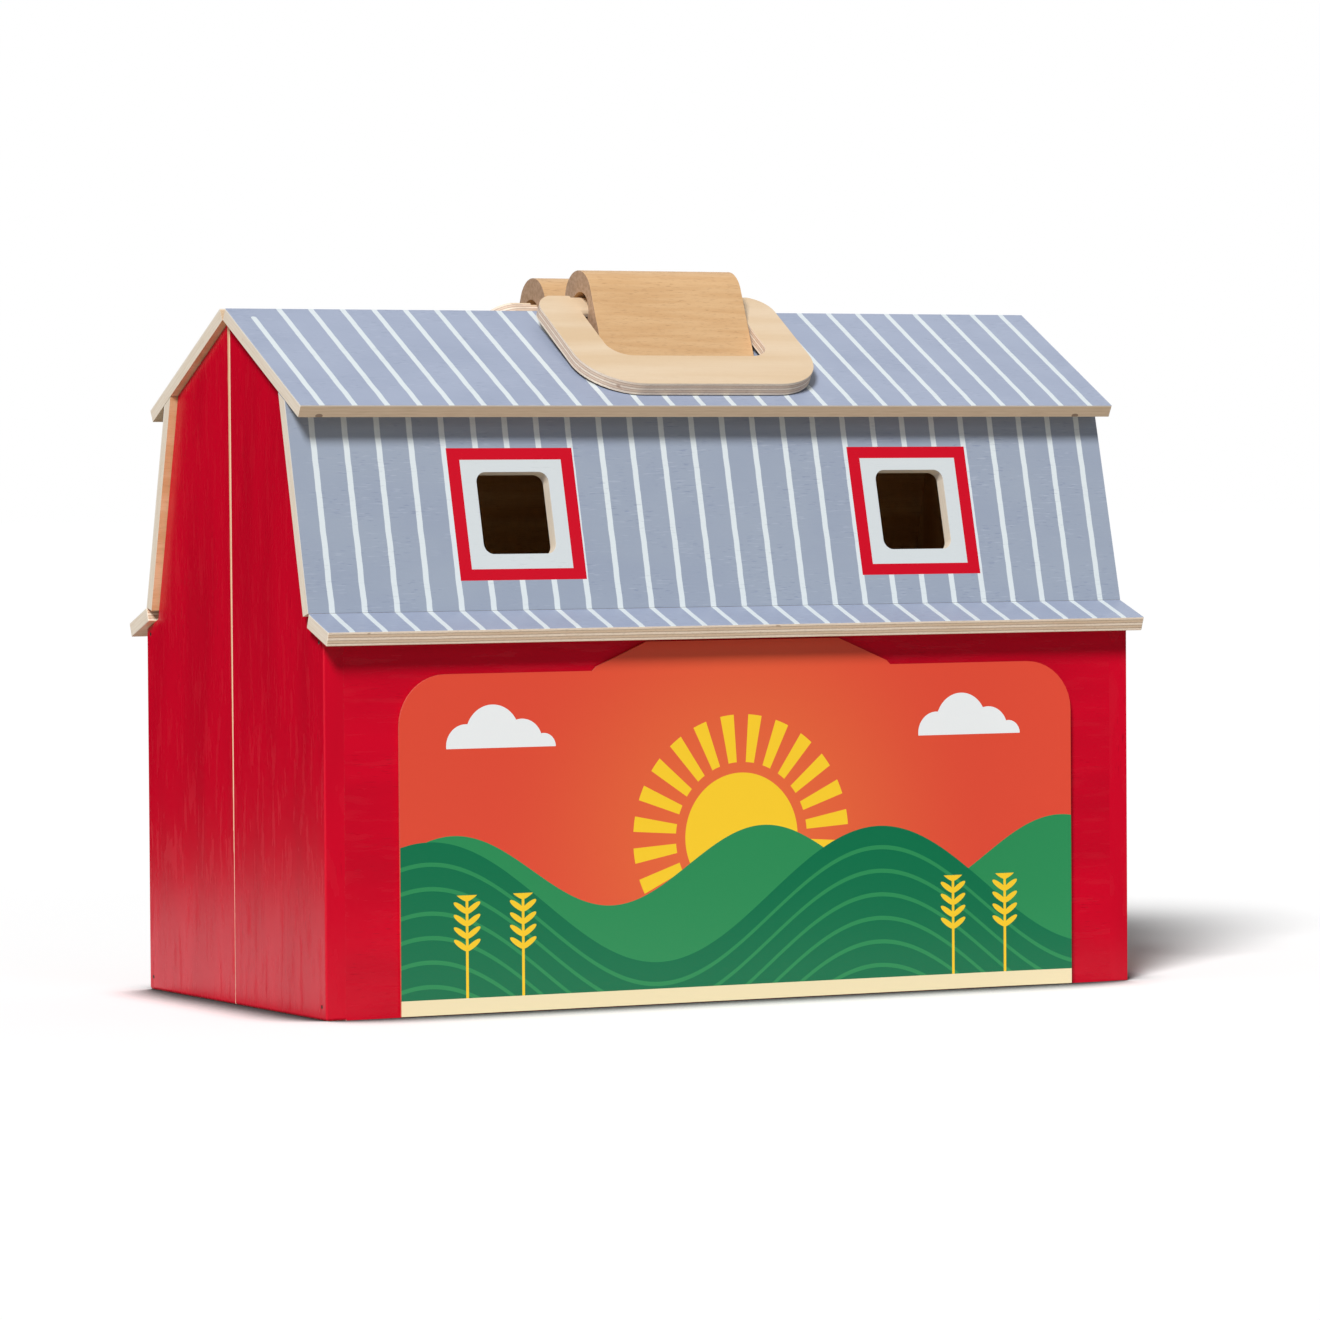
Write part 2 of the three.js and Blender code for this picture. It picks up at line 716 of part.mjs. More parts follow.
// One half-barn in its own frame: the open side at Y = 0 and the long wall at +Y
function halfBarn(plan) {
  const half = new THREE.Group();
  half.rotation.z = plan.turn;
  const add = (name, geometry, finish) => half.add(part(`${plan.name}_${name}`, geometry, finish));
  add('exterior_wall', exteriorWall(plan), redPaint);
  add('gable_free_end', gable(plan.freeEnd, []), redPaint);
  add('gable_hinge_end', gable(-plan.freeEnd, gablePilots(-plan.freeEnd)), redPaint);
  add('floor', shelf(0, floorThickness), pine);
  add('loft_floor', shelf(stallCeiling, loftThickness), pine);
  add('loft_divider', loftDivider(), pine);
  add('stall_divider_1', stallDivider(-dividerCentre), pine);
  add('stall_divider_2', stallDivider(dividerCentre), pine);
  add('upper_roof', upperRoof(plan), bluePaint);
  add('steep_roof', steepRoof(plan), bluePaint);
  add('flared_eave', flaredEave(plan), bluePaint);
  add('sliding_door', slidingDoor(plan), plywood);
  add('door_bottom_rail', doorRail(plan, floorThickness, true), pine);
  add('door_top_rail', doorRail(plan, stallCeiling - railHeight, false), pine);
  half.add(handle(plan));
  return half;
}

// The front half is turned half a turn, so its own +X end is the free end
const frontPlan = {
  name: 'front',
  turn: Math.PI,
  freeEnd: 1,
  windows: [0, dividerCentre * 2],
  doorEdge: -dividerCentre - dividerThickness / 2,
  doorSlide: -1,
  blockCentre: -frontBlockCentre,
  ringCentre: -frontRingCentre,
  handleShift: 0,
};
const rearPlan = {
  name: 'rear',
  turn: 0,
  freeEnd: -1,
  windows: [-dividerCentre * 2, dividerCentre * 2],
  doorEdge: -dividerCentre + dividerThickness / 2,
  doorSlide: 1,
  blockCentre: rearBlockCentre,
  ringCentre: rearRingCentre,
  handleShift: rearHandleShift,
};

const barn = new THREE.Group();
const frontHalf = halfBarn(frontPlan);
frontHalf.add(part('stall_board', stallBoard(), pine));
frontHalf.add(ladder(frontPlan));
barn.add(frontHalf);
barn.add(halfBarn(rearPlan));
barn.add(hinge());
barn.add(displayCard());

export default barn;
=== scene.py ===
"""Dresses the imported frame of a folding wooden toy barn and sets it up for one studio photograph.

Lengths are in metres, and the shaders read millimetres: each board carries an attribute with the
place of every point along its grain, across it and down from its outer face, in millimetres.
"""

import json
import logging
import math
from dataclasses import dataclass
from enum import Enum
from typing import Mapping, Sequence, Union

import bmesh
import bpy
from mathutils import Matrix, Vector

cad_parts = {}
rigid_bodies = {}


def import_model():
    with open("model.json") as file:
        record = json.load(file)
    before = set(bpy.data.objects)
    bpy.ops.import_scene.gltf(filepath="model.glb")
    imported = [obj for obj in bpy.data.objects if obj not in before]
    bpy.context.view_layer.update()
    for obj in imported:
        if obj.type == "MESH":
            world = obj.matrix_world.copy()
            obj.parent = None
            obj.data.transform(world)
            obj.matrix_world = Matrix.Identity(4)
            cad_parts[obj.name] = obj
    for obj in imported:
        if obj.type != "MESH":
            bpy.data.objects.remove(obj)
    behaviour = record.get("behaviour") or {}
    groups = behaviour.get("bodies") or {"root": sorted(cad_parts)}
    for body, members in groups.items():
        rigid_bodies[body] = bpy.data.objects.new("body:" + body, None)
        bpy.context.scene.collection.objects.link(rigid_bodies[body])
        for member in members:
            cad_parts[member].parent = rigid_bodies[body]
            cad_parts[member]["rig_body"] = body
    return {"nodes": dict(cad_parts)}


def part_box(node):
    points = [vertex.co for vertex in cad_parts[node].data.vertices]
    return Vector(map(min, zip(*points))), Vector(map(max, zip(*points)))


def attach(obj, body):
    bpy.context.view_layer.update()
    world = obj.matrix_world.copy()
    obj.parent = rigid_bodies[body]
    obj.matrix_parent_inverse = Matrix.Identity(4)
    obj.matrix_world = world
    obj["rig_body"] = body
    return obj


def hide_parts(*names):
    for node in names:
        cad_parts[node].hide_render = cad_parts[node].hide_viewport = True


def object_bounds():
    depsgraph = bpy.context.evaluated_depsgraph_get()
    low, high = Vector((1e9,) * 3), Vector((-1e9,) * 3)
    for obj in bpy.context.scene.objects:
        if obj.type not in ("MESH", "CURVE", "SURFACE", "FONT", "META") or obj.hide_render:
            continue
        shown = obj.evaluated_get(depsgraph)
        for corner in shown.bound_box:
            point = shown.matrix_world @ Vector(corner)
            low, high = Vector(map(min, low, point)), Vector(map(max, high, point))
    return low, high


MM = 0.001
WELD = 0.001 * MM
FLAT_ANGLE = math.radians(0.5)
QUARTER_TURN = math.radians(90)
FULL_WEIGHT = 100
LOG = logging.getLogger("toy_barn")
BOARD = "board_mm"
UP = Vector((0.0, 0.0, 1.0))
ALONG_RIDGE = Vector((1.0, 0.0, 0.0))
FACE, BACK, EDGE, END = range(4)

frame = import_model()
cad_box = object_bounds()


# Colour and shader helpers

Tone = tuple[float, float, float, float]
Limits = tuple[float, float]

SCREEN_WHITE = 255
SCREEN_KNEE = 0.04045
SCREEN_SLOPE = 12.92
SCREEN_OFFSET = 0.055
SCREEN_GAMMA = 2.4

# A Mix node repeats the names of its sockets for each kind of data, so its colours are told by number
MIX_SHARE, MIX_LOW, MIX_HIGH, MIX_RESULT = 0, 6, 7, 2


def linear(value: int) -> float:
    """Turns one screen value into the linear value that a shader reads.

    Args:
        value: the value on screen, from 0 to 255.

    Returns:
        The linear value, from 0 to 1.
    """
    share = value / SCREEN_WHITE
    if share <= SCREEN_KNEE:
        return share / SCREEN_SLOPE
    return ((share + SCREEN_OFFSET) / (1 + SCREEN_OFFSET)) ** SCREEN_GAMMA


def tone(red: int, green: int, blue: int) -> Tone:
    """Returns the linear colour of a screen colour, at full opacity."""
    return (linear(red), linear(green), linear(blue), 1.0)


def grey(level: float) -> Tone:
    """Returns a linear grey, from 0 for black to 1 for white."""
    return (level, level, level, 1.0)


Number = Union["Field", float]
Colour = Union["Field", Tone]


@dataclass(frozen=True)
class Field:
    """A value that varies over a surface: one output of a shader tree."""

    graph: "Graph"
    socket: bpy.types.NodeSocket

    def _math(self, operation: str, *others: Number) -> "Field":
        """Puts this field and the others through a Math node.

        Args:
            operation: what the node does.
            others: its further inputs.

        Returns:
            The result.
        """
        node = self.graph.add("ShaderNodeMath", operation=operation)
        for index, value in enumerate((self, *others)):
            self.graph.feed(node.inputs[index], value)
        return Field(self.graph, node.outputs[0])

    def __add__(self, other: Number) -> "Field":
        """Returns the sum."""
        return self._math("ADD", other)

    def __sub__(self, other: Number) -> "Field":
        """Returns the difference."""
        return self._math("SUBTRACT", other)

    def __mul__(self, other: Number) -> "Field":
        """Returns the product."""
        return self._math("MULTIPLY", other)

    def __truediv__(self, other: Number) -> "Field":
        """Returns the quotient."""
        return self._math("DIVIDE", other)

    def size(self) -> "Field":
        """Returns the value without its sign."""
        return self._math("ABSOLUTE")

    def part(self) -> "Field":
        """Returns the fraction above the next whole number down."""
        return self._math("FRACT")

    def floor(self) -> "Field":
        """Returns the next whole number down."""
        return self._math("FLOOR")

    def root(self) -> "Field":
        """Returns the square root."""
        return self._math("SQRT")

    def sine(self) -> "Field":
        """Returns the sine of an angle in radians."""
        return self._math("SINE")

    def angle_to(self, other: Number) -> "Field":
        """Returns the angle whose tangent is this value over the other."""
        return self._math("ARCTAN2", other)

    def below(self, limit: Number) -> "Field":
        """Returns 1 where the value is under the limit, and 0 elsewhere."""
        return self._math("LESS_THAN", limit)

    def above(self, limit: Number) -> "Field":
        """Returns 1 where the value is over the limit, and 0 elsewhere."""
        return self._math("GREATER_THAN", limit)

    def most(self, other: Number) -> "Field":
        """Returns the higher of the two values."""
        return self._math("MAXIMUM", other)

    def without(self, other: "Field") -> "Field":
        """Returns this mask where the other mask is 0."""
        return self * (other * -1.0 + 1.0)

    def ramp(self, low: float, high: float) -> "Field":
        """Spreads the values between two limits over 0 to 1, with a smooth rise.

        Args:
            low: the value that becomes 0, with all under it.
            high: the value that becomes 1, with all over it.

        Returns:
            The spread values.
        """
        node = self.graph.add("ShaderNodeMapRange", interpolation_type="SMOOTHSTEP")
        self.graph.feed(node.inputs["Value"], self)
        node.inputs["From Min"].default_value = low
        node.inputs["From Max"].default_value = high
        return Field(self.graph, node.outputs["Result"])


def reach(aside: Field, rise: Field) -> Field:
    """Returns how far off a point is that lies so far aside and so far up."""
    return (aside * aside + rise * rise).root()


@dataclass(frozen=True)
class Place:
    """The three coordinates of a point in millimetres, as fields."""

    x: Field
    y: Field
    z: Field


@dataclass(frozen=True)
class Grain:
    """Noise on a surface: how long its grains are each way, in millimetres, and how it is spread."""

    along: float
    across: float
    into: float
    detail: float = 3.0
    shift: float = 0.0
    limits: Limits = (0.0, 1.0)


class Graph:
    """A shader tree, and the short calls that fill it."""

    def __init__(self, name: str, world: bool = False) -> None:
        """Starts an empty tree.

        Args:
            name: name of the material or the world that owns the tree.
            world: whether a world owns it.
        """
        self.owner = (bpy.data.worlds if world else bpy.data.materials).new(name)
        self.ending = "ShaderNodeOutputWorld" if world else "ShaderNodeOutputMaterial"
        self.owner.use_nodes = True
        self.tree = self.owner.node_tree
        self.tree.nodes.clear()

    def add(self, kind: str, **settings: object) -> bpy.types.Node:
        """Adds a node.

        Args:
            kind: type of the node.
            settings: properties of the node.

        Returns:
            The node.
        """
        node = self.tree.nodes.new(kind)
        for key, value in settings.items():
            setattr(node, key, value)
        return node

    def feed(self, socket: bpy.types.NodeSocket, value: object) -> None:
        """Gives an input its value.

        Args:
            socket: the input.
            value: a field to link, or a plain value to set.
        """
        if isinstance(value, Field):
            self.tree.links.new(value.socket, socket)
        else:
            socket.default_value = value

    def board(self) -> Place:
        """Returns the place on a board: along the grain, across it and down from its outer face."""
        node = self.add("ShaderNodeAttribute", attribute_name=BOARD)
        return self._split(node.outputs["Vector"])

    def object(self) -> Place:
        """Reads the place in the barn's own frame.

        Returns:
            The place.
        """
        node = self.add("ShaderNodeTexCoord")
        scale = self.add("ShaderNodeMapping")
        self.tree.links.new(node.outputs["Object"], scale.inputs["Vector"])
        scale.inputs["Scale"].default_value = (1 / MM, 1 / MM, 1 / MM)
        return self._split(scale.outputs["Vector"])

    def _split(self, socket: bpy.types.NodeSocket) -> Place:
        """Takes a vector apart.

        Args:
            socket: the output that carries it.

        Returns:
            Its three numbers.
        """
        node = self.add("ShaderNodeSeparateXYZ")
        self.tree.links.new(socket, node.inputs[0])
        return Place(*(Field(self, output) for output in node.outputs))

    def noise(self, place: Place, grain: Grain, seed: float = 0.0) -> Field:
        """Makes noise.

        Args:
            place: where each point is, in millimetres.
            grain: lengths, detail and shift of the noise.
            seed: a further shift, for a pattern of its own.

        Returns:
            A value around one half.
        """
        point = self.add("ShaderNodeCombineXYZ")
        lengths = (grain.along, grain.across, grain.into)
        for socket, value, length in zip(point.inputs, (place.x, place.y, place.z), lengths):
            self.feed(socket, value / length + (seed + grain.shift))
        node = self.add("ShaderNodeTexNoise")
        self.tree.links.new(point.outputs[0], node.inputs["Vector"])
        node.inputs["Scale"].default_value = 1.0
        node.inputs["Detail"].default_value = grain.detail
        return Field(self, node.outputs[0])

    def spots(self, place: Place, grain: Grain, seed: float = 0.0) -> Field:
        """Returns noise that is spread between the limits of its grain, from 0 to 1."""
        return self.noise(place, grain, seed).ramp(*grain.limits)

    def mix(self, share: Number, low: Colour, high: Colour) -> Field:
        """Mixes two colours.

        Args:
            share: how much of the high colour there is, from 0 to 1.
            low: the colour where the share is 0.
            high: the colour where the share is 1.

        Returns:
            The mixed colour.
        """
        node = self.add("ShaderNodeMix", data_type="RGBA")
        self.feed(node.inputs[MIX_SHARE], share)
        self.feed(node.inputs[MIX_LOW], low)
        self.feed(node.inputs[MIX_HIGH], high)
        return Field(self, node.outputs[MIX_RESULT])

    def close(self, shader: bpy.types.Node) -> None:
        """Links a shader to the tree's output."""
        self.tree.links.new(shader.outputs[0], self.add(self.ending).inputs["Surface"])

    def finish(self, colour: Colour, roughness: Number, height: Union[Field, None] = None,
               relief: float = 0.0, **constants: float) -> bpy.types.Material:
        """Closes the tree with a Principled shader.

        Args:
            colour: base colour.
            roughness: roughness of the surface.
            height: relief of the surface, from 0 to 1.
            relief: depth of that relief in metres.
            constants: plain values for other sockets, with words joined by underscores.

        Returns:
            The finished material.
        """
        shader = self.add("ShaderNodeBsdfPrincipled")
        self.feed(shader.inputs["Base Color"], colour)
        self.feed(shader.inputs["Roughness"], roughness)
        for key, value in constants.items():
            shader.inputs[key.replace("_", " ")].default_value = value
        if height is not None:
            bump = self.add("ShaderNodeBump")
            bump.inputs["Distance"].default_value = relief
            self.feed(bump.inputs["Height"], height)
            self.tree.links.new(bump.outputs["Normal"], shader.inputs["Normal"])
        self.close(shader)
        return self.owner


# Finishes


@dataclass(frozen=True)
class Timber:
    """Bare sanded wood on a face: pale bands along the grain, and short pores."""

    name: str
    pale: Tone
    dark: Tone
    pore: Tone
    band: float = 9.0
    band_length: float = 240.0
    band_detail: float = 4.0
    band_limits: Limits = (0.34, 0.68)
    fibre: Grain = Grain(14.0, 0.35, 0.6, 2.0, limits=(0.3, 0.75))
    fibre_share: float = 0.3
    pores: Grain = Grain(3.6, 0.22, 0.4, 1.0, limits=(0.62, 0.7))
    pore_share: float = 0.3
    pore_depth_share: float = 0.5
    least_roughness: float = 0.44
    fibre_roughness: float = 0.16
    relief: float = 0.05 * MM
    seed: float = 0.0

    def build(self) -> bpy.types.Material:
        """Builds the material.

        Returns:
            The material.
        """
        graph = Graph(self.name)
        place = graph.board()
        band = Grain(self.band_length, self.band, self.band, self.band_detail, limits=self.band_limits)
        fibre = graph.noise(place, self.fibre, self.seed)
        pores = graph.spots(place, self.pores, self.seed)
        colour = graph.mix(graph.spots(place, band, self.seed), self.pale, self.dark)
        colour = graph.mix(fibre.ramp(*self.fibre.limits) * self.fibre_share, colour, self.dark)
        colour = graph.mix(pores * self.pore_share, colour, self.pore)
        rough = fibre * self.fibre_roughness + self.least_roughness
        return graph.finish(colour, rough, fibre - pores * self.pore_depth_share, self.relief)


@dataclass(frozen=True)
class PlyEdge:
    """Sawn edge of a plywood board: pale layers, end-grain layers and thin glue lines."""

    name: str
    pale: Tone
    end_grain: Tone
    glue: Tone
    thickness: float
    layers: int
    glue_width: float = 0.2
    drift: Grain = Grain(30.0, 30.0, 8.0, 2.0)
    drift_depth: float = 0.5
    end_grain_share: float = 0.7
    streaks: Grain = Grain(1.6, 1.6, 0.18, limits=(0.45, 0.8))
    streak_share: float = 0.4
    broad: Grain = Grain(26.0, 26.0, 4.0, 2.0, shift=5.0, limits=(0.45, 0.8))
    broad_share: float = 0.35
    glue_share: float = 0.75
    glue_depth_share: float = 0.5
    knots: Grain = Grain(7.0, 7.0, 3.0, 1.0, shift=9.0, limits=(0.76, 0.8))
    knot_share: float = 0.6
    roughness: float = 0.62
    relief: float = 0.08 * MM
    seed: float = 0.0

    def build(self) -> bpy.types.Material:
        """Builds the material.

        Returns:
            The material.
        """
        graph = Graph(self.name)
        place = graph.board()
        layer = self.thickness / self.layers
        drift = graph.noise(place, self.drift, self.seed)
        step = (place.z + (drift - 0.5) * self.drift_depth) / layer
        odd = (step / 2.0).part().above(0.5)
        edge = ((step - 0.5).part() - 0.5).size() * layer
        line = edge.below(self.glue_width / 2)
        line = line * step.above(0.5) * step.below(self.layers - 0.5)
        streaks = graph.noise(place, self.streaks, self.seed)
        colour = graph.mix(odd * self.end_grain_share, self.pale, self.end_grain)
        colour = graph.mix(streaks.ramp(*self.streaks.limits) * self.streak_share, colour, self.glue)
        broad = graph.spots(place, self.broad, self.seed)
        colour = graph.mix(broad * self.broad_share, colour, self.end_grain)
        colour = graph.mix(line * self.glue_share, colour, self.glue)
        knots = graph.spots(place, self.knots, self.seed)
        colour = graph.mix(knots * self.knot_share, colour, self.glue)
        height = streaks - line * self.glue_depth_share
        return graph.finish(colour, self.roughness, height, self.relief)


@dataclass(frozen=True)
class SawnEdge:
    """Sawn edge of a board: fine streaks along it, a pale outer band (bare wood and painted highlight)
    and small dark knots.
    """

    name: str
    base: Tone
    streak: Tone
    pale: Tone
    knot: Tone
    streaks: Grain = Grain(9.0, 9.0, 0.3, limits=(0.35, 0.75))
    streak_share: float = 0.45
    bare_and_highlight_depth: float = 0.5
    layer: float = 1.3
    layer_limits: Limits = (0.3, 0.42)
    layer_share: float = 0.2
    knot_share: float = 0.7
    knots: tuple[float, ...] = ()
    knot_depth: float = 4.4
    knot_length: float = 1.5
    knot_height: float = 0.8
    strays: Grain = Grain(4.0, 4.0, 2.4, 0.0, shift=9.0, limits=(0.8, 0.84))
    stray_share: float = 1.0
    roughness: float = 0.6
    relief: float = 0.05 * MM
    seed: float = 0.0

    def build(self) -> bpy.types.Material:
        """Builds the material.

        Returns:
            The material.
        """
        graph = Graph(self.name)
        place = graph.board()
        streaks = graph.noise(place, self.streaks, self.seed)
        layers = ((place.z / self.layer).part() - 0.5).size().ramp(*self.layer_limits)
        colour = graph.mix(streaks.ramp(*self.streaks.limits) * self.streak_share, self.base, self.streak)
        colour = graph.mix(layers * self.layer_share, colour, self.streak)
        # pale band along the outer face: partly bare wood, partly a painted highlight of the eased arris
        colour = graph.mix(place.z.below(self.bare_and_highlight_depth), colour, self.pale)
        knots = graph.spots(place, self.strays, self.seed) * self.stray_share
        for middle in self.knots:
            aside = (place.x - middle) / self.knot_length
            rise = (place.z - self.knot_depth) / self.knot_height
            knots = knots.most(reach(aside, rise).below(1.0))
        colour = graph.mix(knots * self.knot_share, colour, self.knot)
        return graph.finish(colour, self.roughness, streaks, self.relief)


@dataclass(frozen=True)
class Palette:
    """Colours of the paint."""

    red: Tone = tone(208, 4, 38)
    deep_red: Tone = tone(158, 0, 24)
    blue: Tone = tone(156, 166, 188)
    deep_blue: Tone = tone(136, 146, 170)
    # painted shade: a darker, greyer copy of the roof blue for the steep panel, which takes less light
    steep_shaded_blue: Tone = tone(153, 163, 179)
    pale_blue: Tone = tone(186, 194, 208)
    stripe: Tone = tone(217, 225, 228)
    trim_red: Tone = tone(200, 0, 32)
    trim_white: Tone = tone(206, 212, 214)
    bare: Tone = tone(236, 190, 150)


PAINT = Palette()


@dataclass(frozen=True)
class Panel:
    """A painted upright rectangle, in a board's own millimetres."""

    centre: float
    low: float
    high: float
    width: float
    paint: Tone

    def mask(self, place: Place) -> Field:
        """Marks the panel.

        Args:
            place: place on the board.

        Returns:
            1 on the panel, and 0 elsewhere.
        """
        side = (place.x - self.centre).size()
        rise = (place.y - (self.low + self.high) / 2).size()
        return side.below(self.width / 2) * rise.below((self.high - self.low) / 2)


@dataclass(frozen=True)
class RedPaint:
    """Satin red paint that lets the wood's grain show, with a seam left bare where one is asked for."""

    name: str
    bare_seam: float = 0.0
    seam_top: float = 256.0
    seam_foot: float = 20.0
    seam_drift: float = 0.5
    grain: Grain = Grain(26.0, 0.9, 3.0)
    grain_depth_share: float = 0.7
    fine: Grain = Grain(7.0, 0.4, 1.0, 2.0)
    fine_depth_share: float = 0.3
    cloud: Grain = Grain(120.0, 22.0, 30.0, 2.0, limits=(0.3, 0.75))
    cloud_share: float = 0.35
    pores: Grain = Grain(6.0, 0.5, 1.0, 1.0, shift=3.0, limits=(0.62, 0.72))
    patches: Grain = Grain(60.0, 14.0, 20.0, 2.0, shift=7.0, limits=(0.45, 0.65))
    pore_share: float = 0.5
    pore_depth_share: float = 0.4
    dull: Grain = Grain(22.0, 3.4, 9.0, 4.0, shift=11.0, limits=(0.5, 0.68))
    least_roughness: float = 0.18
    cloud_roughness: float = 0.1
    dull_roughness: float = 0.15
    gloss: float = 0.22
    relief: float = 0.032 * MM
    seed: float = 0.0

    def build(self) -> bpy.types.Material:
        """Builds the material.

        Returns:
            The material.
        """
        graph = Graph(self.name)
        place = graph.board()
        grain = graph.noise(place, self.grain, self.seed)
        fine = graph.noise(place, self.fine, self.seed)
        cloud = graph.noise(place, self.cloud, self.seed)
        pores = graph.spots(place, self.pores, self.seed) * graph.spots(place, self.patches, self.seed)
        dull = graph.spots(place, self.dull, self.seed)
        colour = graph.mix(cloud.ramp(*self.cloud.limits) * self.cloud_share, PAINT.red, PAINT.deep_red)
        colour = graph.mix(pores * self.pore_share, colour, PAINT.deep_red)
        if self.bare_seam:
            spot = graph.object()
            rise = (spot.z - self.seam_foot) / (self.seam_top - self.seam_foot)
            width = rise.most(0.0) * self.bare_seam + (fine - 0.5) * self.seam_drift
            colour = graph.mix(spot.y.size().below(width), colour, PAINT.bare)
        height = grain * self.grain_depth_share + fine * self.fine_depth_share
        height = height - pores * self.pore_depth_share
        rough = cloud * self.cloud_roughness + dull * self.dull_roughness + self.least_roughness
        return graph.finish(colour, rough, height, self.relief, Specular_IOR_Level=self.gloss)


@dataclass(frozen=True)
class RoofPaint:
    """Blue-grey roof paint with thin white stripes down the slope, and the frames of the attic."""

    name: str
    first_stripe: float
    pitch: float
    stripes: int
    width: float = 2.3
    base: Tone = PAINT.blue
    panels: tuple[Panel, ...] = ()
    first_top: float = 1000.0
    grain: Grain = Grain(9.0, 0.55, 2.0)
    grain_depth_share: float = 0.6
    ticks: Grain = Grain(4.6, 0.5, 1.0, 1.0, shift=2.0, limits=(0.62, 0.72))
    tick_share: float = 0.8
    tick_depth_share: float = 0.7
    light: Grain = Grain(6.5, 0.6, 1.0, 1.0, shift=13.0, limits=(0.6, 0.72))
    light_share: float = 0.3
    patches: Grain = Grain(26.0, 12.0, 20.0, 2.0, shift=7.0, limits=(0.38, 0.6))
    cloud: Grain = Grain(40.0, 24.0, 30.0, limits=(0.3, 0.75))
    cloud_share: float = 0.3
    drift: Grain = Grain(900.0, 7.0, 7.0, 2.0, shift=4.0)
    drift_width: float = 0.5
    stripe_share: float = 0.94
    stripe_wear_share: float = 0.2
    least_roughness: float = 0.36
    cloud_roughness: float = 0.12
    gloss: float = 0.3
    relief: float = 0.06 * MM
    seed: float = 0.0

    def build(self) -> bpy.types.Material:
        """Builds the material.

        Returns:
            The material.
        """
        graph = Graph(self.name)
        place = graph.board()
        grain = graph.noise(place, self.grain, self.seed)
        patches = graph.spots(place, self.patches, self.seed)
        ticks = graph.spots(place, self.ticks, self.seed) * patches
        light = graph.spots(place, self.light, self.seed) * patches
        cloud = graph.noise(place, self.cloud, self.seed)
        colour = graph.mix(cloud.ramp(*self.cloud.limits) * self.cloud_share, self.base, PAINT.deep_blue)
        colour = graph.mix(ticks * self.tick_share, colour, PAINT.deep_blue)
        colour = graph.mix(light * self.light_share, colour, PAINT.pale_blue)
        worn = ticks * -self.stripe_wear_share + self.stripe_share
        colour = graph.mix(self._stripes(graph, place) * worn, colour, PAINT.stripe)
        for panel in self.panels:
            colour = graph.mix(panel.mask(place), colour, panel.paint)
        height = grain * self.grain_depth_share - ticks * self.tick_depth_share
        rough = cloud * self.cloud_roughness + self.least_roughness
        return graph.finish(colour, rough, height, self.relief, Specular_IOR_Level=self.gloss)

    def _stripes(self, graph: Graph, place: Place) -> Field:
        """Marks the stripes, the first of which ends in a round top.

        Args:
            graph: the shader tree.
            place: place on the board.

        Returns:
            1 on a stripe, and 0 elsewhere.
        """
        drift = (graph.noise(place, self.drift, self.seed) - 0.5) * self.drift_width
        count = (place.x + drift - self.first_stripe) / self.pitch + 0.5
        near = (count.part() - 0.5).size() * self.pitch
        stripe = near.below(self.width / 2) * count.above(0.0) * count.below(float(self.stripes))
        past = (place.y - (self.first_top - self.width / 2)).most(0.0)
        rounded = reach(near, past).above(self.width / 2)
        return stripe.without(rounded * count.below(1.0))


@dataclass(frozen=True)
class Metal:
    """Drawn or plated metal with fine scratches."""

    name: str
    bright: Tone
    dull: Tone
    roughness: float = 0.28
    scratch: Grain = Grain(0.5, 0.5, 14.0)
    scratch_roughness: float = 0.2
    tarnish: Grain = Grain(9.0, 9.0, 16.0, shift=4.0, limits=(0.4, 0.75))
    tarnish_share: float = 0.6
    relief: float = 0.02 * MM

    def build(self) -> bpy.types.Material:
        """Builds the material.

        Returns:
            The material.
        """
        graph = Graph(self.name)
        place = graph.object()
        scratch = graph.noise(place, self.scratch)
        colour = graph.mix(graph.spots(place, self.tarnish) * self.tarnish_share, self.bright, self.dull)
        rough = scratch * self.scratch_roughness + (self.roughness - self.scratch_roughness / 2)
        return graph.finish(colour, rough, scratch, self.relief, Metallic=1.0)


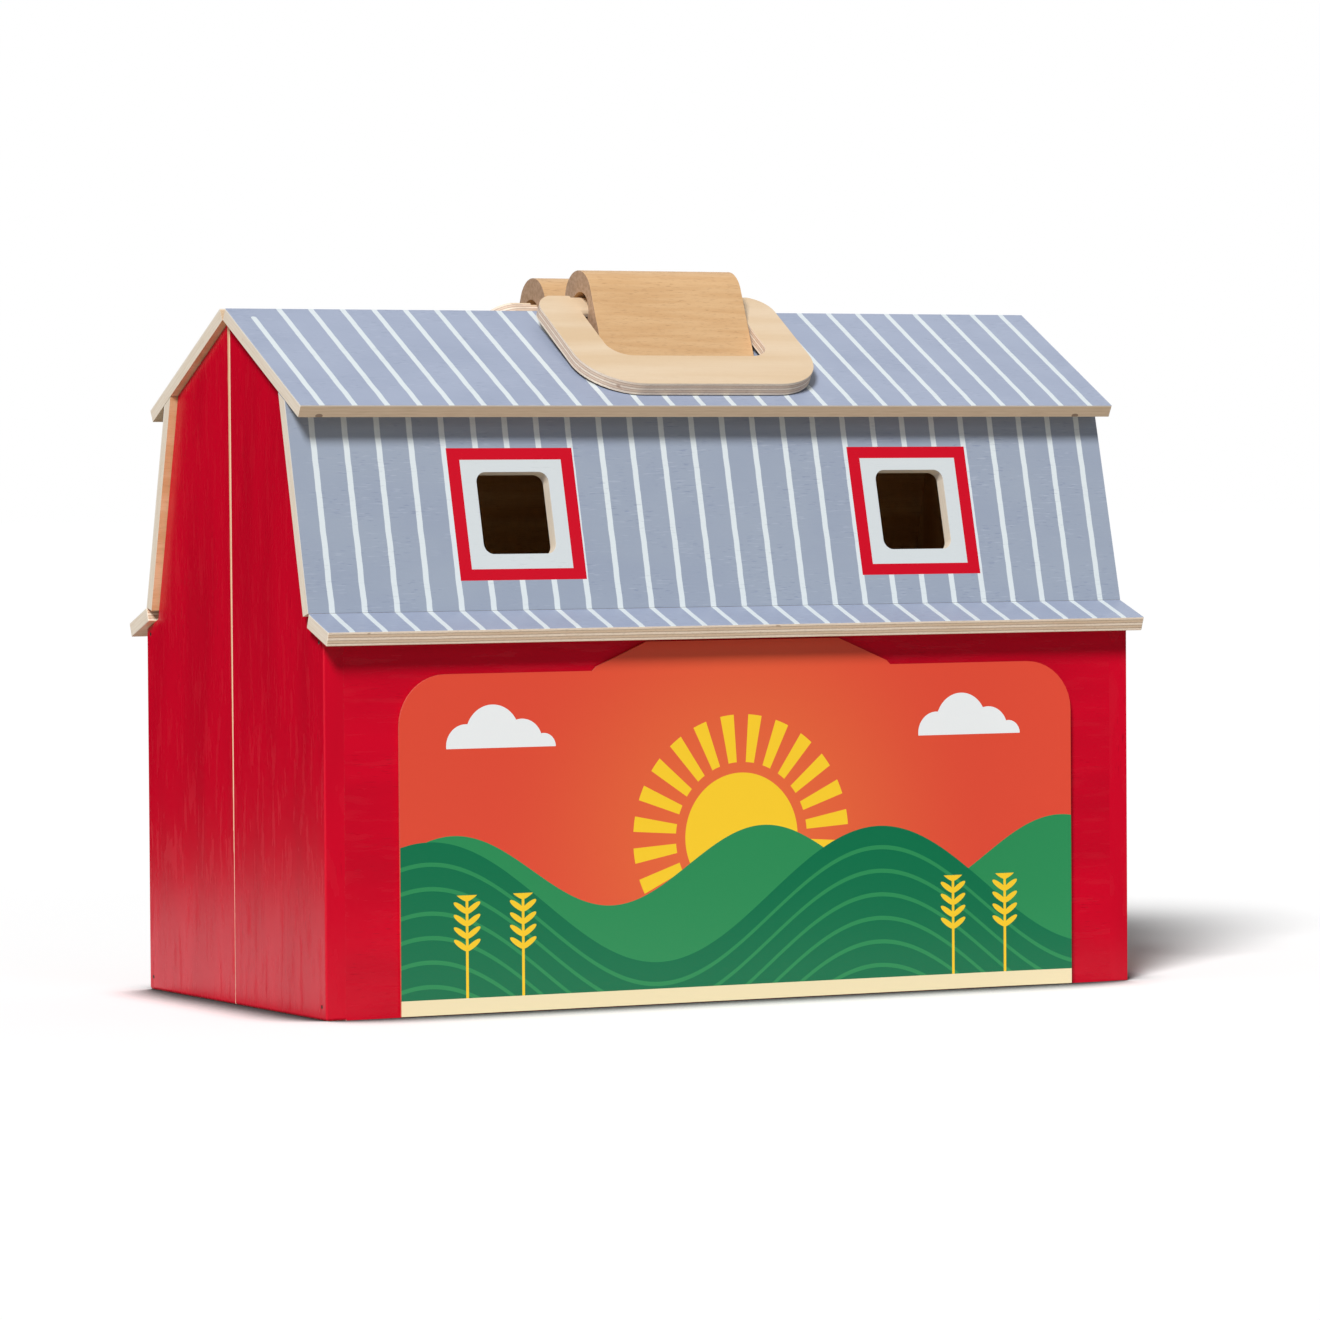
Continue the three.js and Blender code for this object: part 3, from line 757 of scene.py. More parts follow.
@dataclass(frozen=True)
class CardPrint:
    """Printed face of the display card: hills and a rising sun over rows of ripe wheat."""

    name: str = "card_print"
    field_colour: Tone = tone(224, 74, 50)
    glow: Tone = tone(232, 108, 58)
    green: Tone = tone(0, 112, 72)
    leaf: Tone = tone(40, 140, 84)
    yellow: Tone = tone(250, 205, 40)
    cream: Tone = tone(243, 226, 184)
    white: Tone = tone(235, 238, 238)
    base_strip: float = 6.0
    glow_reach: float = 110.0
    sun_height: float = 62.0
    sun_radius: float = 24.0
    ray_start: float = 28.0
    ray_end: float = 46.0
    ray_count: int = 24
    ray_share: float = 0.48
    cloud_floor: float = 98.0
    cloud_centres: tuple[float, ...] = (-104.0, 96.0)
    puffs: tuple[tuple[float, float, float], ...] = (
        (-11.0, 99.0, 8.0), (0.0, 103.0, 11.0), (12.0, 100.0, 8.5), (21.0, 98.0, 5.0))
    hill_height: float = 40.0
    hill_rise: float = 24.0
    hill_period: float = 190.0
    hill_turn: float = -0.4
    far_height: float = 52.0
    far_rise: float = 14.0
    far_period: float = 130.0
    far_turn: float = 1.1
    furrow_pitch: float = 9.0
    furrow_width: float = 1.6
    ear_pitch: float = 23.0
    ear_foot: float = 14.0
    ear_top: float = 44.0
    ear_inner: float = 80.5
    ear_outer: float = 126.5
    grain_pitch: float = 4.6
    grain_long: float = 3.1
    grain_wide: float = 1.25
    grain_lean: float = 0.62
    grain_out_share: float = 0.75
    stem_width: float = 1.1
    speck: Grain = Grain(0.5, 0.5, 0.5, 2.0)
    least_roughness: float = 0.3
    speck_roughness: float = 0.1
    relief: float = 0.01 * MM

    def build(self) -> bpy.types.Material:
        """Builds the material.

        Returns:
            The material.
        """
        graph = Graph(self.name)
        place = graph.board()
        x, z = place.x, place.y
        away = reach(x, z - self.sun_height)
        colour = graph.mix((away / self.glow_reach).ramp(0.0, 1.0), self.glow, self.field_colour)
        turn = (z - self.sun_height).angle_to(x) * (self.ray_count / math.tau)
        ray = (turn.part() - 0.5).size().below(self.ray_share / 2)
        ray = ray * away.above(self.ray_start) * away.below(self.ray_end)
        colour = graph.mix(ray, colour, self.yellow)
        colour = graph.mix(away.below(self.sun_radius), colour, self.yellow)
        for centre in self.cloud_centres:
            for aside, height, radius in self.puffs:
                puff = reach(x - (centre + aside), z - height).below(radius)
                colour = graph.mix(puff * z.above(self.cloud_floor), colour, self.white)
        far = (x / self.far_period * math.tau + self.far_turn).sine() * self.far_rise
        colour = graph.mix(z.below(far + self.far_height), colour, self.leaf)
        crest = (x / self.hill_period * math.tau + self.hill_turn).sine() * self.hill_rise
        crest = crest + self.hill_height
        hill = z.below(crest)
        colour = graph.mix(hill, colour, self.green)
        furrow = ((z - crest) / self.furrow_pitch).part() * self.furrow_pitch
        colour = graph.mix(furrow.below(self.furrow_width) * hill, colour, self.leaf)
        colour = graph.mix(self._wheat(x, z), colour, self.yellow)
        colour = graph.mix(z.below(self.base_strip), colour, self.cream)
        speck = graph.noise(place, self.speck)
        rough = speck * self.speck_roughness + self.least_roughness
        return graph.finish(colour, rough, speck, self.relief)

    def _wheat(self, x: Field, z: Field) -> Field:
        """Draws the rows of wheat ears at both ends of the card.

        Args:
            x: place along the card.
            z: height on the card.

        Returns:
            The mask of the ears and their stems.
        """
        row = (x / self.ear_pitch + 0.5).floor()
        across = (x - row * self.ear_pitch).size()
        step = ((z - self.ear_foot) / self.grain_pitch).part() * self.grain_pitch
        aside = across - self.grain_long * self.grain_out_share
        rise = step - self.grain_pitch / 2 - aside * self.grain_lean
        grain = reach(aside / self.grain_long, rise / self.grain_wide).below(1.0)
        grain = grain * z.above(self.ear_foot + self.grain_pitch * 2) * z.below(self.ear_top)
        stem = across.below(self.stem_width / 2) * z.above(self.base_strip) * z.below(self.ear_top)
        bed = x.size().above(self.ear_inner) * x.size().below(self.ear_outer)
        return grain.most(stem) * bed


@dataclass(frozen=True)
class CardStock:
    """Uncoated board of the card."""

    name: str
    pale: Tone = tone(226, 221, 210)
    dark: Tone = tone(196, 188, 174)
    fibre: Grain = Grain(1.2, 0.7, 0.7, limits=(0.35, 0.8))
    roughness: float = 0.7
    relief: float = 0.03 * MM

    def build(self) -> bpy.types.Material:
        """Builds the material.

        Returns:
            The material.
        """
        graph = Graph(self.name)
        fibre = graph.noise(graph.board(), self.fibre)
        colour = graph.mix(fibre.ramp(*self.fibre.limits), self.pale, self.dark)
        return graph.finish(colour, self.roughness, fibre, self.relief)


# Meshes


def settled(draft: bpy.types.Object) -> bpy.types.Mesh:
    """Turns a draft object and its modifiers into a plain mesh, and deletes the draft.

    Args:
        draft: an object that is linked to the scene.

    Returns:
        The mesh that the modifiers make.
    """
    depsgraph = bpy.context.evaluated_depsgraph_get()
    mesh = bpy.data.meshes.new_from_object(
        draft.evaluated_get(depsgraph), preserve_all_data_layers=True, depsgraph=depsgraph)
    rough = draft.data
    draft.modifiers.clear()
    bpy.data.objects.remove(draft)
    bpy.data.meshes.remove(rough)
    return mesh


def drafted(name: str, content: bpy.types.ID) -> bpy.types.Object:
    """Puts a mesh, a camera or a lamp in the scene as an object.

    Args:
        name: name of the object and its content.
        content: the mesh, camera or lamp.

    Returns:
        The object.
    """
    content.name = name
    draft = bpy.data.objects.new(name, content)
    bpy.context.scene.collection.objects.link(draft)
    return draft


def poured(name: str, work: bmesh.types.BMesh) -> bpy.types.Mesh:
    """Turns an edited mesh into a plain one, and frees it.

    Args:
        name: name of the plain mesh.
        work: the edited mesh.

    Returns:
        The plain mesh.
    """
    mesh = bpy.data.meshes.new(name)
    work.to_mesh(mesh)
    work.free()
    return mesh


def copied(node: str) -> bmesh.types.BMesh:
    """Copies a CAD solid, with each of its flat faces as one face.

    Args:
        node: name of the CAD node.

    Returns:
        The copy, ready to be edited.
    """
    work = bmesh.new()
    work.from_mesh(frame["nodes"][node].data)
    bmesh.ops.remove_doubles(work, verts=work.verts, dist=WELD)
    bmesh.ops.dissolve_limit(work, angle_limit=FLAT_ANGLE, verts=work.verts, edges=work.edges)
    return work


def placed(name: str, mesh: bpy.types.Mesh, nodes: Sequence[str]) -> bpy.types.Object:
    """Makes a finished mesh a piece that stands for CAD nodes and moves with their body.

    Args:
        name: name of the piece.
        mesh: the finished mesh, with its place in its vertices.
        nodes: the CAD nodes that it replaces.

    Returns:
        The piece.
    """
    made = drafted(name, mesh)
    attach(made, frame["nodes"][nodes[0]]["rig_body"])
    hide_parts(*nodes)
    LOG.info("%s: %d faces", name, len(mesh.polygons))
    return made


def level_out(draft: bpy.types.Object) -> None:
    """Makes large faces shade flat and the rounded edges between them shade round.

    Args:
        draft: an object whose other modifiers are already on it.
    """
    level = draft.modifiers.new("level", "WEIGHTED_NORMAL")
    level.mode = "FACE_AREA"
    level.weight = FULL_WEIGHT
    level.keep_sharp = False


class Recipe:
    """A Geometry Nodes tree with named inputs for its sizes, and the short calls that fill it."""

    ease_from: float = math.radians(50)
    ease_segments: int = 2

    def __init__(self, name: str) -> None:
        """Starts an empty tree.

        Args:
            name: name of the tree.
        """
        self.tree = bpy.data.node_groups.new(name, "GeometryNodeTree")
        self.tree.interface.new_socket(
            name="Geometry", in_out="OUTPUT", socket_type="NodeSocketGeometry")
        self.values: dict[str, object] = {}

    def size(self, name: str, value: Union[int, float, Vector]) -> bpy.types.NodeSocket:
        """Adds a named input, and keeps the value that the piece gives it.

        Args:
            name: name of the input.
            value: a count, a length in metres or a vector in metres.

        Returns:
            The socket that carries the value inside the tree.
        """
        kinds = {int: "NodeSocketInt", float: "NodeSocketFloat", Vector: "NodeSocketVector"}
        entry = self.tree.interface.new_socket(
            name=name, in_out="INPUT", socket_type=kinds[type(value)])
        self.values[entry.identifier] = tuple(value) if isinstance(value, Vector) else value
        return self.tree.nodes.new("NodeGroupInput").outputs[name]

    def make(self, kind: str, feeds: Mapping[Union[str, int], object],
             **settings: object) -> bpy.types.NodeSocket:
        """Adds a node.

        Args:
            kind: type of the node.
            feeds: for each input, the socket or the plain value that goes in.
            settings: properties of the node.

        Returns:
            The first output of the node.
        """
        node = self.tree.nodes.new(kind)
        for key, value in settings.items():
            setattr(node, key, value)
        for key, value in feeds.items():
            for entry in value if isinstance(value, list) else [value]:
                if isinstance(entry, bpy.types.NodeSocket):
                    self.tree.links.new(entry, node.inputs[key])
                else:
                    node.inputs[key].default_value = entry
        return node.outputs[0]

    def sum(self, operation: str, *values: object) -> bpy.types.NodeSocket:
        """Returns the result of a Math node."""
        return self.make("ShaderNodeMath", dict(enumerate(values)), operation=operation)

    def upright(self, height: object) -> bpy.types.NodeSocket:
        """Returns a vector along Z."""
        return self.make("ShaderNodeCombineXYZ", {"Z": height})

    def moved(self, shape: bpy.types.NodeSocket, shift: bpy.types.NodeSocket) -> bpy.types.NodeSocket:
        """Returns a shape moved by a vector."""
        return self.make("GeometryNodeTransform", {"Geometry": shape, "Translation": shift})

    def block(self, size: bpy.types.NodeSocket) -> bpy.types.NodeSocket:
        """Returns a block round the origin."""
        return self.make("GeometryNodeMeshCube", {"Size": size})

    def rod(self, radius: object, length: object, sides: int) -> bpy.types.NodeSocket:
        """Returns a rod along Z round the origin."""
        return self.make("GeometryNodeMeshCylinder",
                         {"Vertices": sides, "Radius": radius, "Depth": length})

    def cut(self, shape: bpy.types.NodeSocket,
            cutters: list[bpy.types.NodeSocket]) -> bpy.types.NodeSocket:
        """Returns a shape with the cutters taken out of it."""
        return self.make("GeometryNodeMeshBoolean", {"Mesh 1": shape, "Mesh 2": cutters},
                         operation="DIFFERENCE")

    def joined(self, shapes: list[bpy.types.NodeSocket]) -> bpy.types.NodeSocket:
        """Returns several shapes as one."""
        return self.make("GeometryNodeJoinGeometry", {"Geometry": shapes})

    def row(self, shape: bpy.types.NodeSocket, count: object, first: object, step: object,
            turn: Vector = Vector()) -> bpy.types.NodeSocket:
        """Repeats a shape along a line.

        Args:
            shape: the shape, at the origin.
            count: how many there are.
            first: place of the first one.
            step: the way from each one to the next.
            turn: turn of each one about X, Y and Z.

        Returns:
            The row of instances.
        """
        line = self.make("GeometryNodeMeshLine",
                         {"Count": count, "Start Location": first, "Offset": step})
        turned = self.make("FunctionNodeEulerToRotation", {"Euler": tuple(turn)})
        return self.make("GeometryNodeInstanceOnPoints",
                         {"Points": line, "Instance": shape, "Rotation": turned})

    def run(self, name: str, shape: bpy.types.NodeSocket, material: bpy.types.Material,
            ease: float = 0.0) -> bpy.types.Mesh:
        """Closes the tree and turns what it makes into a plain mesh.

        Args:
            name: name of the mesh.
            shape: the geometry that leaves the tree.
            material: finish of the whole mesh.
            ease: radius that the sharp edges are rounded to, or zero for none.

        Returns:
            The mesh.
        """
        real = self.make("GeometryNodeRealizeInstances", {"Geometry": shape})
        dressed = self.make("GeometryNodeSetMaterial", {"Geometry": real, "Material": material})
        smooth = self.make("GeometryNodeSetShadeSmooth", {"Geometry": dressed})
        end = self.tree.nodes.new("NodeGroupOutput")
        self.tree.links.new(smooth, end.inputs[0])
        draft = drafted(name, bpy.data.meshes.new(name))
        modifier = draft.modifiers.new("recipe", "NODES")
        modifier.node_group = self.tree
        for identifier, value in self.values.items():
            modifier[identifier] = value
        if ease:
            bevel = draft.modifiers.new("ease", "BEVEL")
            bevel.limit_method = "ANGLE"
            bevel.angle_limit = self.ease_from
            bevel.width = ease
            bevel.segments = self.ease_segments
        level_out(draft)
        return settled(draft)


@dataclass(frozen=True)
class Arris:
    """An edge between two faces, told by where they face, and the radius that it is rounded to."""

    first: Vector
    second: Vector
    radius: float
    aligned_share: float = 0.9

    def matches(self, edge: bmesh.types.BMEdge) -> bool:
        """Tells whether an edge lies between faces that face the two ways.

        Args:
            edge: an edge of two faces.

        Returns:
            Whether it does, whichever of the faces comes first.
        """
        one, two = (face.normal for face in edge.link_faces)
        return any(
            near.dot(self.first) > self.aligned_share and far.dot(self.second) > self.aligned_share
            for near, far in ((one, two), (two, one))
        )


@dataclass
class Board:
    """One board of the barn: its CAD solid with eased edges, and a finish for each way it faces.

    Each share is the cosine of the widest angle at which a face still counts as facing a way.
    """

    node: str
    slot: str
    outward: Vector
    grain: Vector
    face: bpy.types.Material
    back: bpy.types.Material
    edge: bpy.types.Material
    end: Union[bpy.types.Material, None] = None
    painted: tuple[Vector, ...] = ()
    radius: float = 0.3 * MM
    arrises: tuple[Arris, ...] = ()
    segments: int = 3
    crease: float = math.radians(25)
    turned_share: float = 0.35
    flat_share: float = 0.7

    def build(self) -> bpy.types.Object:
        """Builds the board.

        Returns:
            The finished piece.
        """
        draft = drafted(self.node + "_board", self._merged())
        bevel = draft.modifiers.new("ease", "BEVEL")
        bevel.limit_method = "WEIGHT"
        bevel.width = self._widest()
        bevel.segments = self.segments
        level_out(draft)
        mesh = settled(draft)
        self._keep_inside(mesh)
        self._measure(mesh)
        self._paint(mesh)
        return placed(self.node + "_board", mesh, [self.node])

    def _keep_inside(self, mesh: bpy.types.Mesh) -> None:
        """Moves points that a bevel pushed out of the solid's box back to its faces.

        Args:
            mesh: the board's mesh.
        """
        low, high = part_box(self.node)
        for vertex in mesh.vertices:
            limits = zip(vertex.co, low, high)
            vertex.co = [min(max(value, least), most) for value, least, most in limits]

    def _widest(self) -> float:
        """Returns the largest radius of any edge."""
        return max([self.radius, *(arris.radius for arris in self.arrises)])

    def _merged(self) -> bpy.types.Mesh:
        """Copies the CAD solid, with a bevel weight on each of its edges.

        Returns:
            The copy.
        """
        work = copied(self.node)
        weight = work.edges.layers.float.new("bevel_weight_edge")
        for edge in work.edges:
            if len(edge.link_faces) == 2 and edge.calc_face_angle() > self.crease:
                edge[weight] = self._radius_of(edge) / self._widest()
        for face in work.faces:
            face.smooth = True
        return poured(self.node, work)

    def _radius_of(self, edge: bmesh.types.BMEdge) -> float:
        """Finds the radius that an edge is rounded to.

        Args:
            edge: an edge of two faces.

        Returns:
            The radius.
        """
        for arris in self.arrises:
            if arris.matches(edge):
                return arris.radius
        return self.radius

    def _true_outward(self, mesh: bpy.types.Mesh) -> Vector:
        """Returns the normal of the largest face that faces outwards."""
        facing = [face for face in mesh.polygons if face.normal.dot(self.outward) > self.flat_share]
        return max(facing, key=lambda face: face.area).normal.copy()

    def _measure(self, mesh: bpy.types.Mesh) -> None:
        """Writes each point's place along the grain, across it and below the outer face.

        Args:
            mesh: the board's mesh.
        """
        outward = self._true_outward(mesh)
        across = outward.cross(self.grain)
        if across.dot(UP) < 0 or across.dot(ALONG_RIDGE) < -self.flat_share:
            across.negate()
        surface = max(vertex.co.dot(outward) for vertex in mesh.vertices)
        start = min(vertex.co.dot(across) for vertex in mesh.vertices)
        place = mesh.attributes.new(BOARD, "FLOAT_VECTOR", "POINT")
        for vertex, entry in zip(mesh.vertices, place.data):
            entry.vector = (
                vertex.co.dot(self.grain) / MM,
                (vertex.co.dot(across) - start) / MM,
                (surface - vertex.co.dot(outward)) / MM,
            )

    def _paint(self, mesh: bpy.types.Mesh) -> None:
        """Gives each face its finish by where it faces.

        Args:
            mesh: the board's mesh.
        """
        mesh.materials.clear()
        for material in (self.face, self.back, self.edge, self.end or self.edge):
            mesh.materials.append(material)
        outward = self._true_outward(mesh)
        for face in mesh.polygons:
            if any(face.normal.dot(way) > self.turned_share for way in (outward, *self.painted)):
                face.material_index = FACE
            elif abs(face.normal.dot(self.grain)) > self.flat_share:
                face.material_index = END
            elif face.normal.dot(outward) < -self.flat_share:
                face.material_index = BACK
            else:
                face.material_index = EDGE


# What the pieces share


class Side(Enum):
    """The two halves of the barn."""

    FRONT = "front"
    REAR = "rear"

    def out(self) -> Vector:
        """Returns the way the half's long wall faces."""
        return Vector((0.0, -1.0 if self is Side.FRONT else 1.0, 0.0))

    def node(self, name: str) -> str:
        """Returns the full name of one of the half's CAD nodes."""
        return f"{self.value}_{name}"


class Stock:
    """Every finish of the barn, each built once."""

    def __init__(self) -> None:
        """Builds the materials."""
        birch = (tone(236, 206, 160), tone(216, 176, 124), tone(170, 120, 74))
        self.birch = Timber("birch_face", *birch, band=8.0, seed=3.0).build()
        self.pine = Timber("pine_face", tone(236, 208, 158), tone(214, 170, 112), tone(168, 112, 66),
                           band=12.0, seed=9.0).build()
        self.ring = Timber("ring_face", tone(224, 202, 173), tone(214, 186, 150), tone(186, 146, 108),
                           band=15.0, pore_share=0.08, seed=17.0).build()
        self.maple = Timber("maple_face", tone(216, 177, 131), tone(207, 165, 118), tone(162, 116, 78),
                            band=2.2, band_length=30.0, pore_share=0.45, seed=23.0).build()
        self.maple_end = Timber("maple_end", tone(188, 156, 130), tone(168, 136, 108),
                                tone(128, 102, 84), band=1.4, band_length=3.0, seed=31.0).build()
        edge = (tone(230, 214, 190), tone(190, 158, 122), tone(132, 96, 66))
        self.board_edge = PlyEdge("board_edge", *edge, thickness=8.0, layers=7, seed=2.0).build()
        self.eave_edge = SawnEdge("eave_edge", tone(215, 188, 156), tone(188, 159, 128),
                                  tone(232, 218, 198), tone(92, 62, 44),
                                  knots=(-166.0, 157.3), stray_share=0.0, seed=6.0).build()
        self.roof_end = SawnEdge("roof_end", tone(236, 224, 206), tone(214, 192, 166),
                                 tone(240, 232, 220), tone(190, 160, 128), knot_share=0.2,
                                 seed=15.0).build()
        self.reveal = SawnEdge("window_reveal", tone(242, 226, 200), tone(226, 202, 170),
                               tone(240, 228, 206), tone(180, 146, 110), knot_share=0.2,
                               seed=21.0).build()
        self.flare_edge = PlyEdge("flare_edge", tone(247, 229, 206), tone(214, 184, 150),
                                  tone(154, 120, 90), thickness=5.6, layers=5, seed=11.0).build()
        self.ring_edge = PlyEdge("ring_edge", tone(238, 222, 202), tone(212, 184, 160),
                                 tone(160, 122, 100), thickness=5.0, layers=5, seed=14.0).build()
        self.red = RedPaint("red_paint").build()
        self.red_seam = RedPaint("red_paint_bare_seam", bare_seam=2.0, seed=5.0).build()
        self.brass = Metal("brass", tone(214, 180, 108), tone(160, 124, 66)).build()
        self.steel = Metal("steel", tone(196, 198, 200), tone(140, 140, 142)).build()
        self.brad = Metal("brad_steel", tone(92, 74, 64), tone(54, 40, 36), roughness=0.5).build()


# The barn


@dataclass
class HalfBarn:
    """One half of the barn: its walls, shelves, roof boards, sliding door and rails."""

    side: Side
    stock: Stock
    roof_spread: float = 85.2
    frame_width: float = 52.2
    frame_low: float = 11.4
    frame_high: float = 62.0
    white_width: float = 42.0
    white_low: float = 15.7
    white_high: float = 57.5
    stripe_pitch: float = 13.14
    upper_first: float = -165.57
    steep_first: float = -164.73
    stripe_count: int = 26
    upper_first_top: float = 71.2
    sharp: float = 0.05 * MM
    flush: float = 0.01 * MM
    corner: float = 0.8 * MM
    eased: float = 0.35 * MM
    foot: float = 1.1 * MM

    def build(self) -> None:
        """Builds every board of the half."""
        self._walls()
        self._roof()
        self._shelves()
        self._door()

    def _board(self, name: str, slot: str, outward: Vector, grain: Vector,
               finishes: Sequence[bpy.types.Material], **more: object) -> None:
        """Builds one board from its face, back and edge finishes."""
        Board(self.side.node(name), slot, outward, grain, *finishes, **more).build()

    def _walls(self) -> None:
        """Builds the long wall and the two gables."""
        out = self.side.out()
        stock = self.stock
        foot = Arris(out, -UP, self.foot)
        joint = tuple(Arris(out, end, self.flush) for end in (ALONG_RIDGE, -ALONG_RIDGE))
        self._board("exterior_wall", "red_paint", out, ALONG_RIDGE,
                    (stock.red, stock.birch, stock.reveal), arrises=(*joint, foot))
        for name, end in (("gable_free_end", -ALONG_RIDGE), ("gable_hinge_end", ALONG_RIDGE)):
            corners = (Arris(end, out, self.corner), Arris(-end, out, self.flush), foot,
                       Arris(end, -UP, self.foot))
            seam = stock.red_seam if self.side is Side.REAR and end.x < 0 else stock.red
            self._board(name, "red_paint", end, UP, (seam, stock.birch, stock.board_edge),
                        painted=(out,), arrises=corners)

    def _roof(self) -> None:
        """Builds the upper roof, the steep panel and the flared eave."""
        stock = self.stock
        out = self.side.out()
        panels = tuple(
            Panel(centre, low, high, width, paint)
            for centre in (-self.roof_spread, self.roof_spread)
            for low, high, width, paint in (
                (self.frame_low, self.frame_high, self.frame_width, PAINT.trim_red),
                (self.white_low, self.white_high, self.white_width, PAINT.trim_white),
            )
        )
        sunk = Arris(out, -UP, self.sharp)
        flush = Arris((UP * 2 + out).normalized(), (UP - out * 2).normalized(), self.sharp)
        for index, (name, outward, edge, arrises, look) in enumerate((
                ("upper_roof", (UP + out).normalized(), stock.eave_edge, (),
                 {"first_stripe": self.upper_first, "first_top": self.upper_first_top}),
                # the steep panel's paint uses the darker copy of the roof blue: painted shade
                ("steep_roof", out, stock.reveal, (sunk,),
                 {"first_stripe": self.steep_first, "panels": panels, "base": PAINT.steep_shaded_blue}),
                ("flared_eave", (UP + out).normalized(), stock.flare_edge, (flush,),
                 {"first_stripe": self.steep_first}))):
            paint = RoofPaint(self.side.node(name) + "_paint", pitch=self.stripe_pitch,
                              stripes=self.stripe_count, seed=float(index), **look).build()
            self._board(name, "blue_paint", outward, ALONG_RIDGE, (paint, stock.birch, edge),
                        end=stock.roof_end, radius=self.eased, arrises=arrises)

    def _shelves(self) -> None:
        """Builds the floor, the loft and the dividers."""
        wood = (self.stock.pine, self.stock.pine, self.stock.board_edge)
        for name in ("floor", "loft_floor"):
            self._board(name, "pine", UP, ALONG_RIDGE, wood)
        for name in ("loft_divider", "stall_divider_1", "stall_divider_2"):
            self._board(name, "pine", ALONG_RIDGE, UP, wood)

    def _door(self) -> None:
        """Builds the sliding door and its two rails."""
        stock = self.stock
        self._board("sliding_door", "plywood", self.side.out(), UP,
                    (stock.birch, stock.birch, stock.ring_edge), radius=self.eased)
        for name in ("door_bottom_rail", "door_top_rail"):
            self._board(name, "pine", -self.side.out(), ALONG_RIDGE, (stock.pine,) * 3)


@dataclass
class CarryHandle:
    """A carrying handle: a plywood ring whose bar turns in the channel of a maple block."""

    side: Side
    stock: Stock
    ring_ease: float = 0.5 * MM
    block_ease: float = 1.1 * MM

    def build(self) -> None:
        """Builds the block and the ring."""
        stock = self.stock
        outward = (UP * 2 + self.side.out()).normalized()
        ends = tuple(
            Arris(way, end, self.block_ease)
            for way in (outward, self.side.out(), UP) for end in (ALONG_RIDGE, -ALONG_RIDGE)
        )
        Board(self.side.node("handle_block"), "maple", outward, ALONG_RIDGE, stock.maple, stock.maple,
              stock.maple, end=stock.maple_end, radius=self.block_ease / 2, arrises=ends).build()
        Board(self.side.node("handle_ring"), "plywood", outward, ALONG_RIDGE, stock.ring, stock.ring,
              stock.ring_edge, radius=self.ring_ease).build()


# Screws, brads and the hinge


class Drive(Enum):
    """What a fastener's head has for a tool."""

    CROSS = "cross recess"
    PLAIN = "no recess"


@dataclass
class FastenerRow:
    """A row of screws or brads with low domed heads, all alike, that moves with one body."""

    name: str
    slot: str
    material: bpy.types.Material
    drive: Drive
    count: int
    first: Vector
    step: Vector
    turn: Vector
    head_radius: float
    head_height: float
    shank_radius: float
    shank_length: float
    recess_width_share: float = 0.24
    recess_reach_share: float = 0.62
    recess_depth_share: float = 0.7
    head_sides: int = 32
    shank_sides: int = 16

    def mesh(self) -> bpy.types.Mesh:
        """Makes the mesh of the whole row.

        Returns:
            The mesh.
        """
        recipe = Recipe(self.name)
        radius = recipe.size("Head Radius", self.head_radius)
        height = recipe.size("Head Height", self.head_height)
        squares = [recipe.sum("MULTIPLY", size, size) for size in (radius, height)]
        double = recipe.sum("MULTIPLY", height, 2.0)
        dome_radius = recipe.sum("DIVIDE", recipe.sum("ADD", *squares), double)
        dome = recipe.make("GeometryNodeMeshUVSphere", {
            "Segments": self.head_sides, "Rings": self.head_sides * 2, "Radius": dome_radius})
        dome = recipe.moved(dome, recipe.upright(recipe.sum("SUBTRACT", height, dome_radius)))
        rim = recipe.moved(recipe.rod(radius, double, self.head_sides), recipe.upright(height))
        head = recipe.make("GeometryNodeMeshBoolean", {"Mesh 2": [dome, rim]}, operation="INTERSECT")
        if self.drive is Drive.CROSS:
            head = recipe.cut(head, self._recess(recipe, height))
        length = recipe.size("Shank Length", self.shank_length)
        shank = recipe.rod(recipe.size("Shank Radius", self.shank_radius), length, self.shank_sides)
        shank = recipe.moved(shank, recipe.upright(recipe.sum("MULTIPLY", length, -0.5)))
        row = recipe.row(recipe.joined([head, shank]), recipe.size("Count", self.count),
                         recipe.size("First", self.first), recipe.size("Step", self.step), self.turn)
        return recipe.run(self.name, row, self.material)

    def _recess(self, recipe: Recipe, height: bpy.types.NodeSocket) -> list[bpy.types.NodeSocket]:
        """Makes the two blocks that cut the cross recess.

        Args:
            recipe: the tree.
            height: height of the head.

        Returns:
            The two blocks.
        """
        wide = self.head_radius * self.recess_width_share
        long = self.head_radius * self.recess_reach_share * 2
        deep = recipe.sum("MULTIPLY", height, self.recess_depth_share * 2)
        blocks = []
        for x, y in ((long, wide), (wide, long)):
            size = recipe.make("ShaderNodeCombineXYZ", {"X": x, "Y": y, "Z": deep})
            blocks.append(recipe.moved(recipe.block(size), recipe.upright(height)))
        return blocks

    def build(self, nodes: Sequence[str]) -> None:
        """Builds the row in place of the CAD screws."""
        placed(self.name, self.mesh(), nodes)

    def add_to(self, body: str) -> None:
        """Adds the row to a body, in the place of no CAD solid.

        Args:
            body: the body that it moves with.
        """
        made = drafted(self.name, self.mesh())
        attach(made, body)
        LOG.info("%s: %d faces", self.name, len(made.data.polygons))


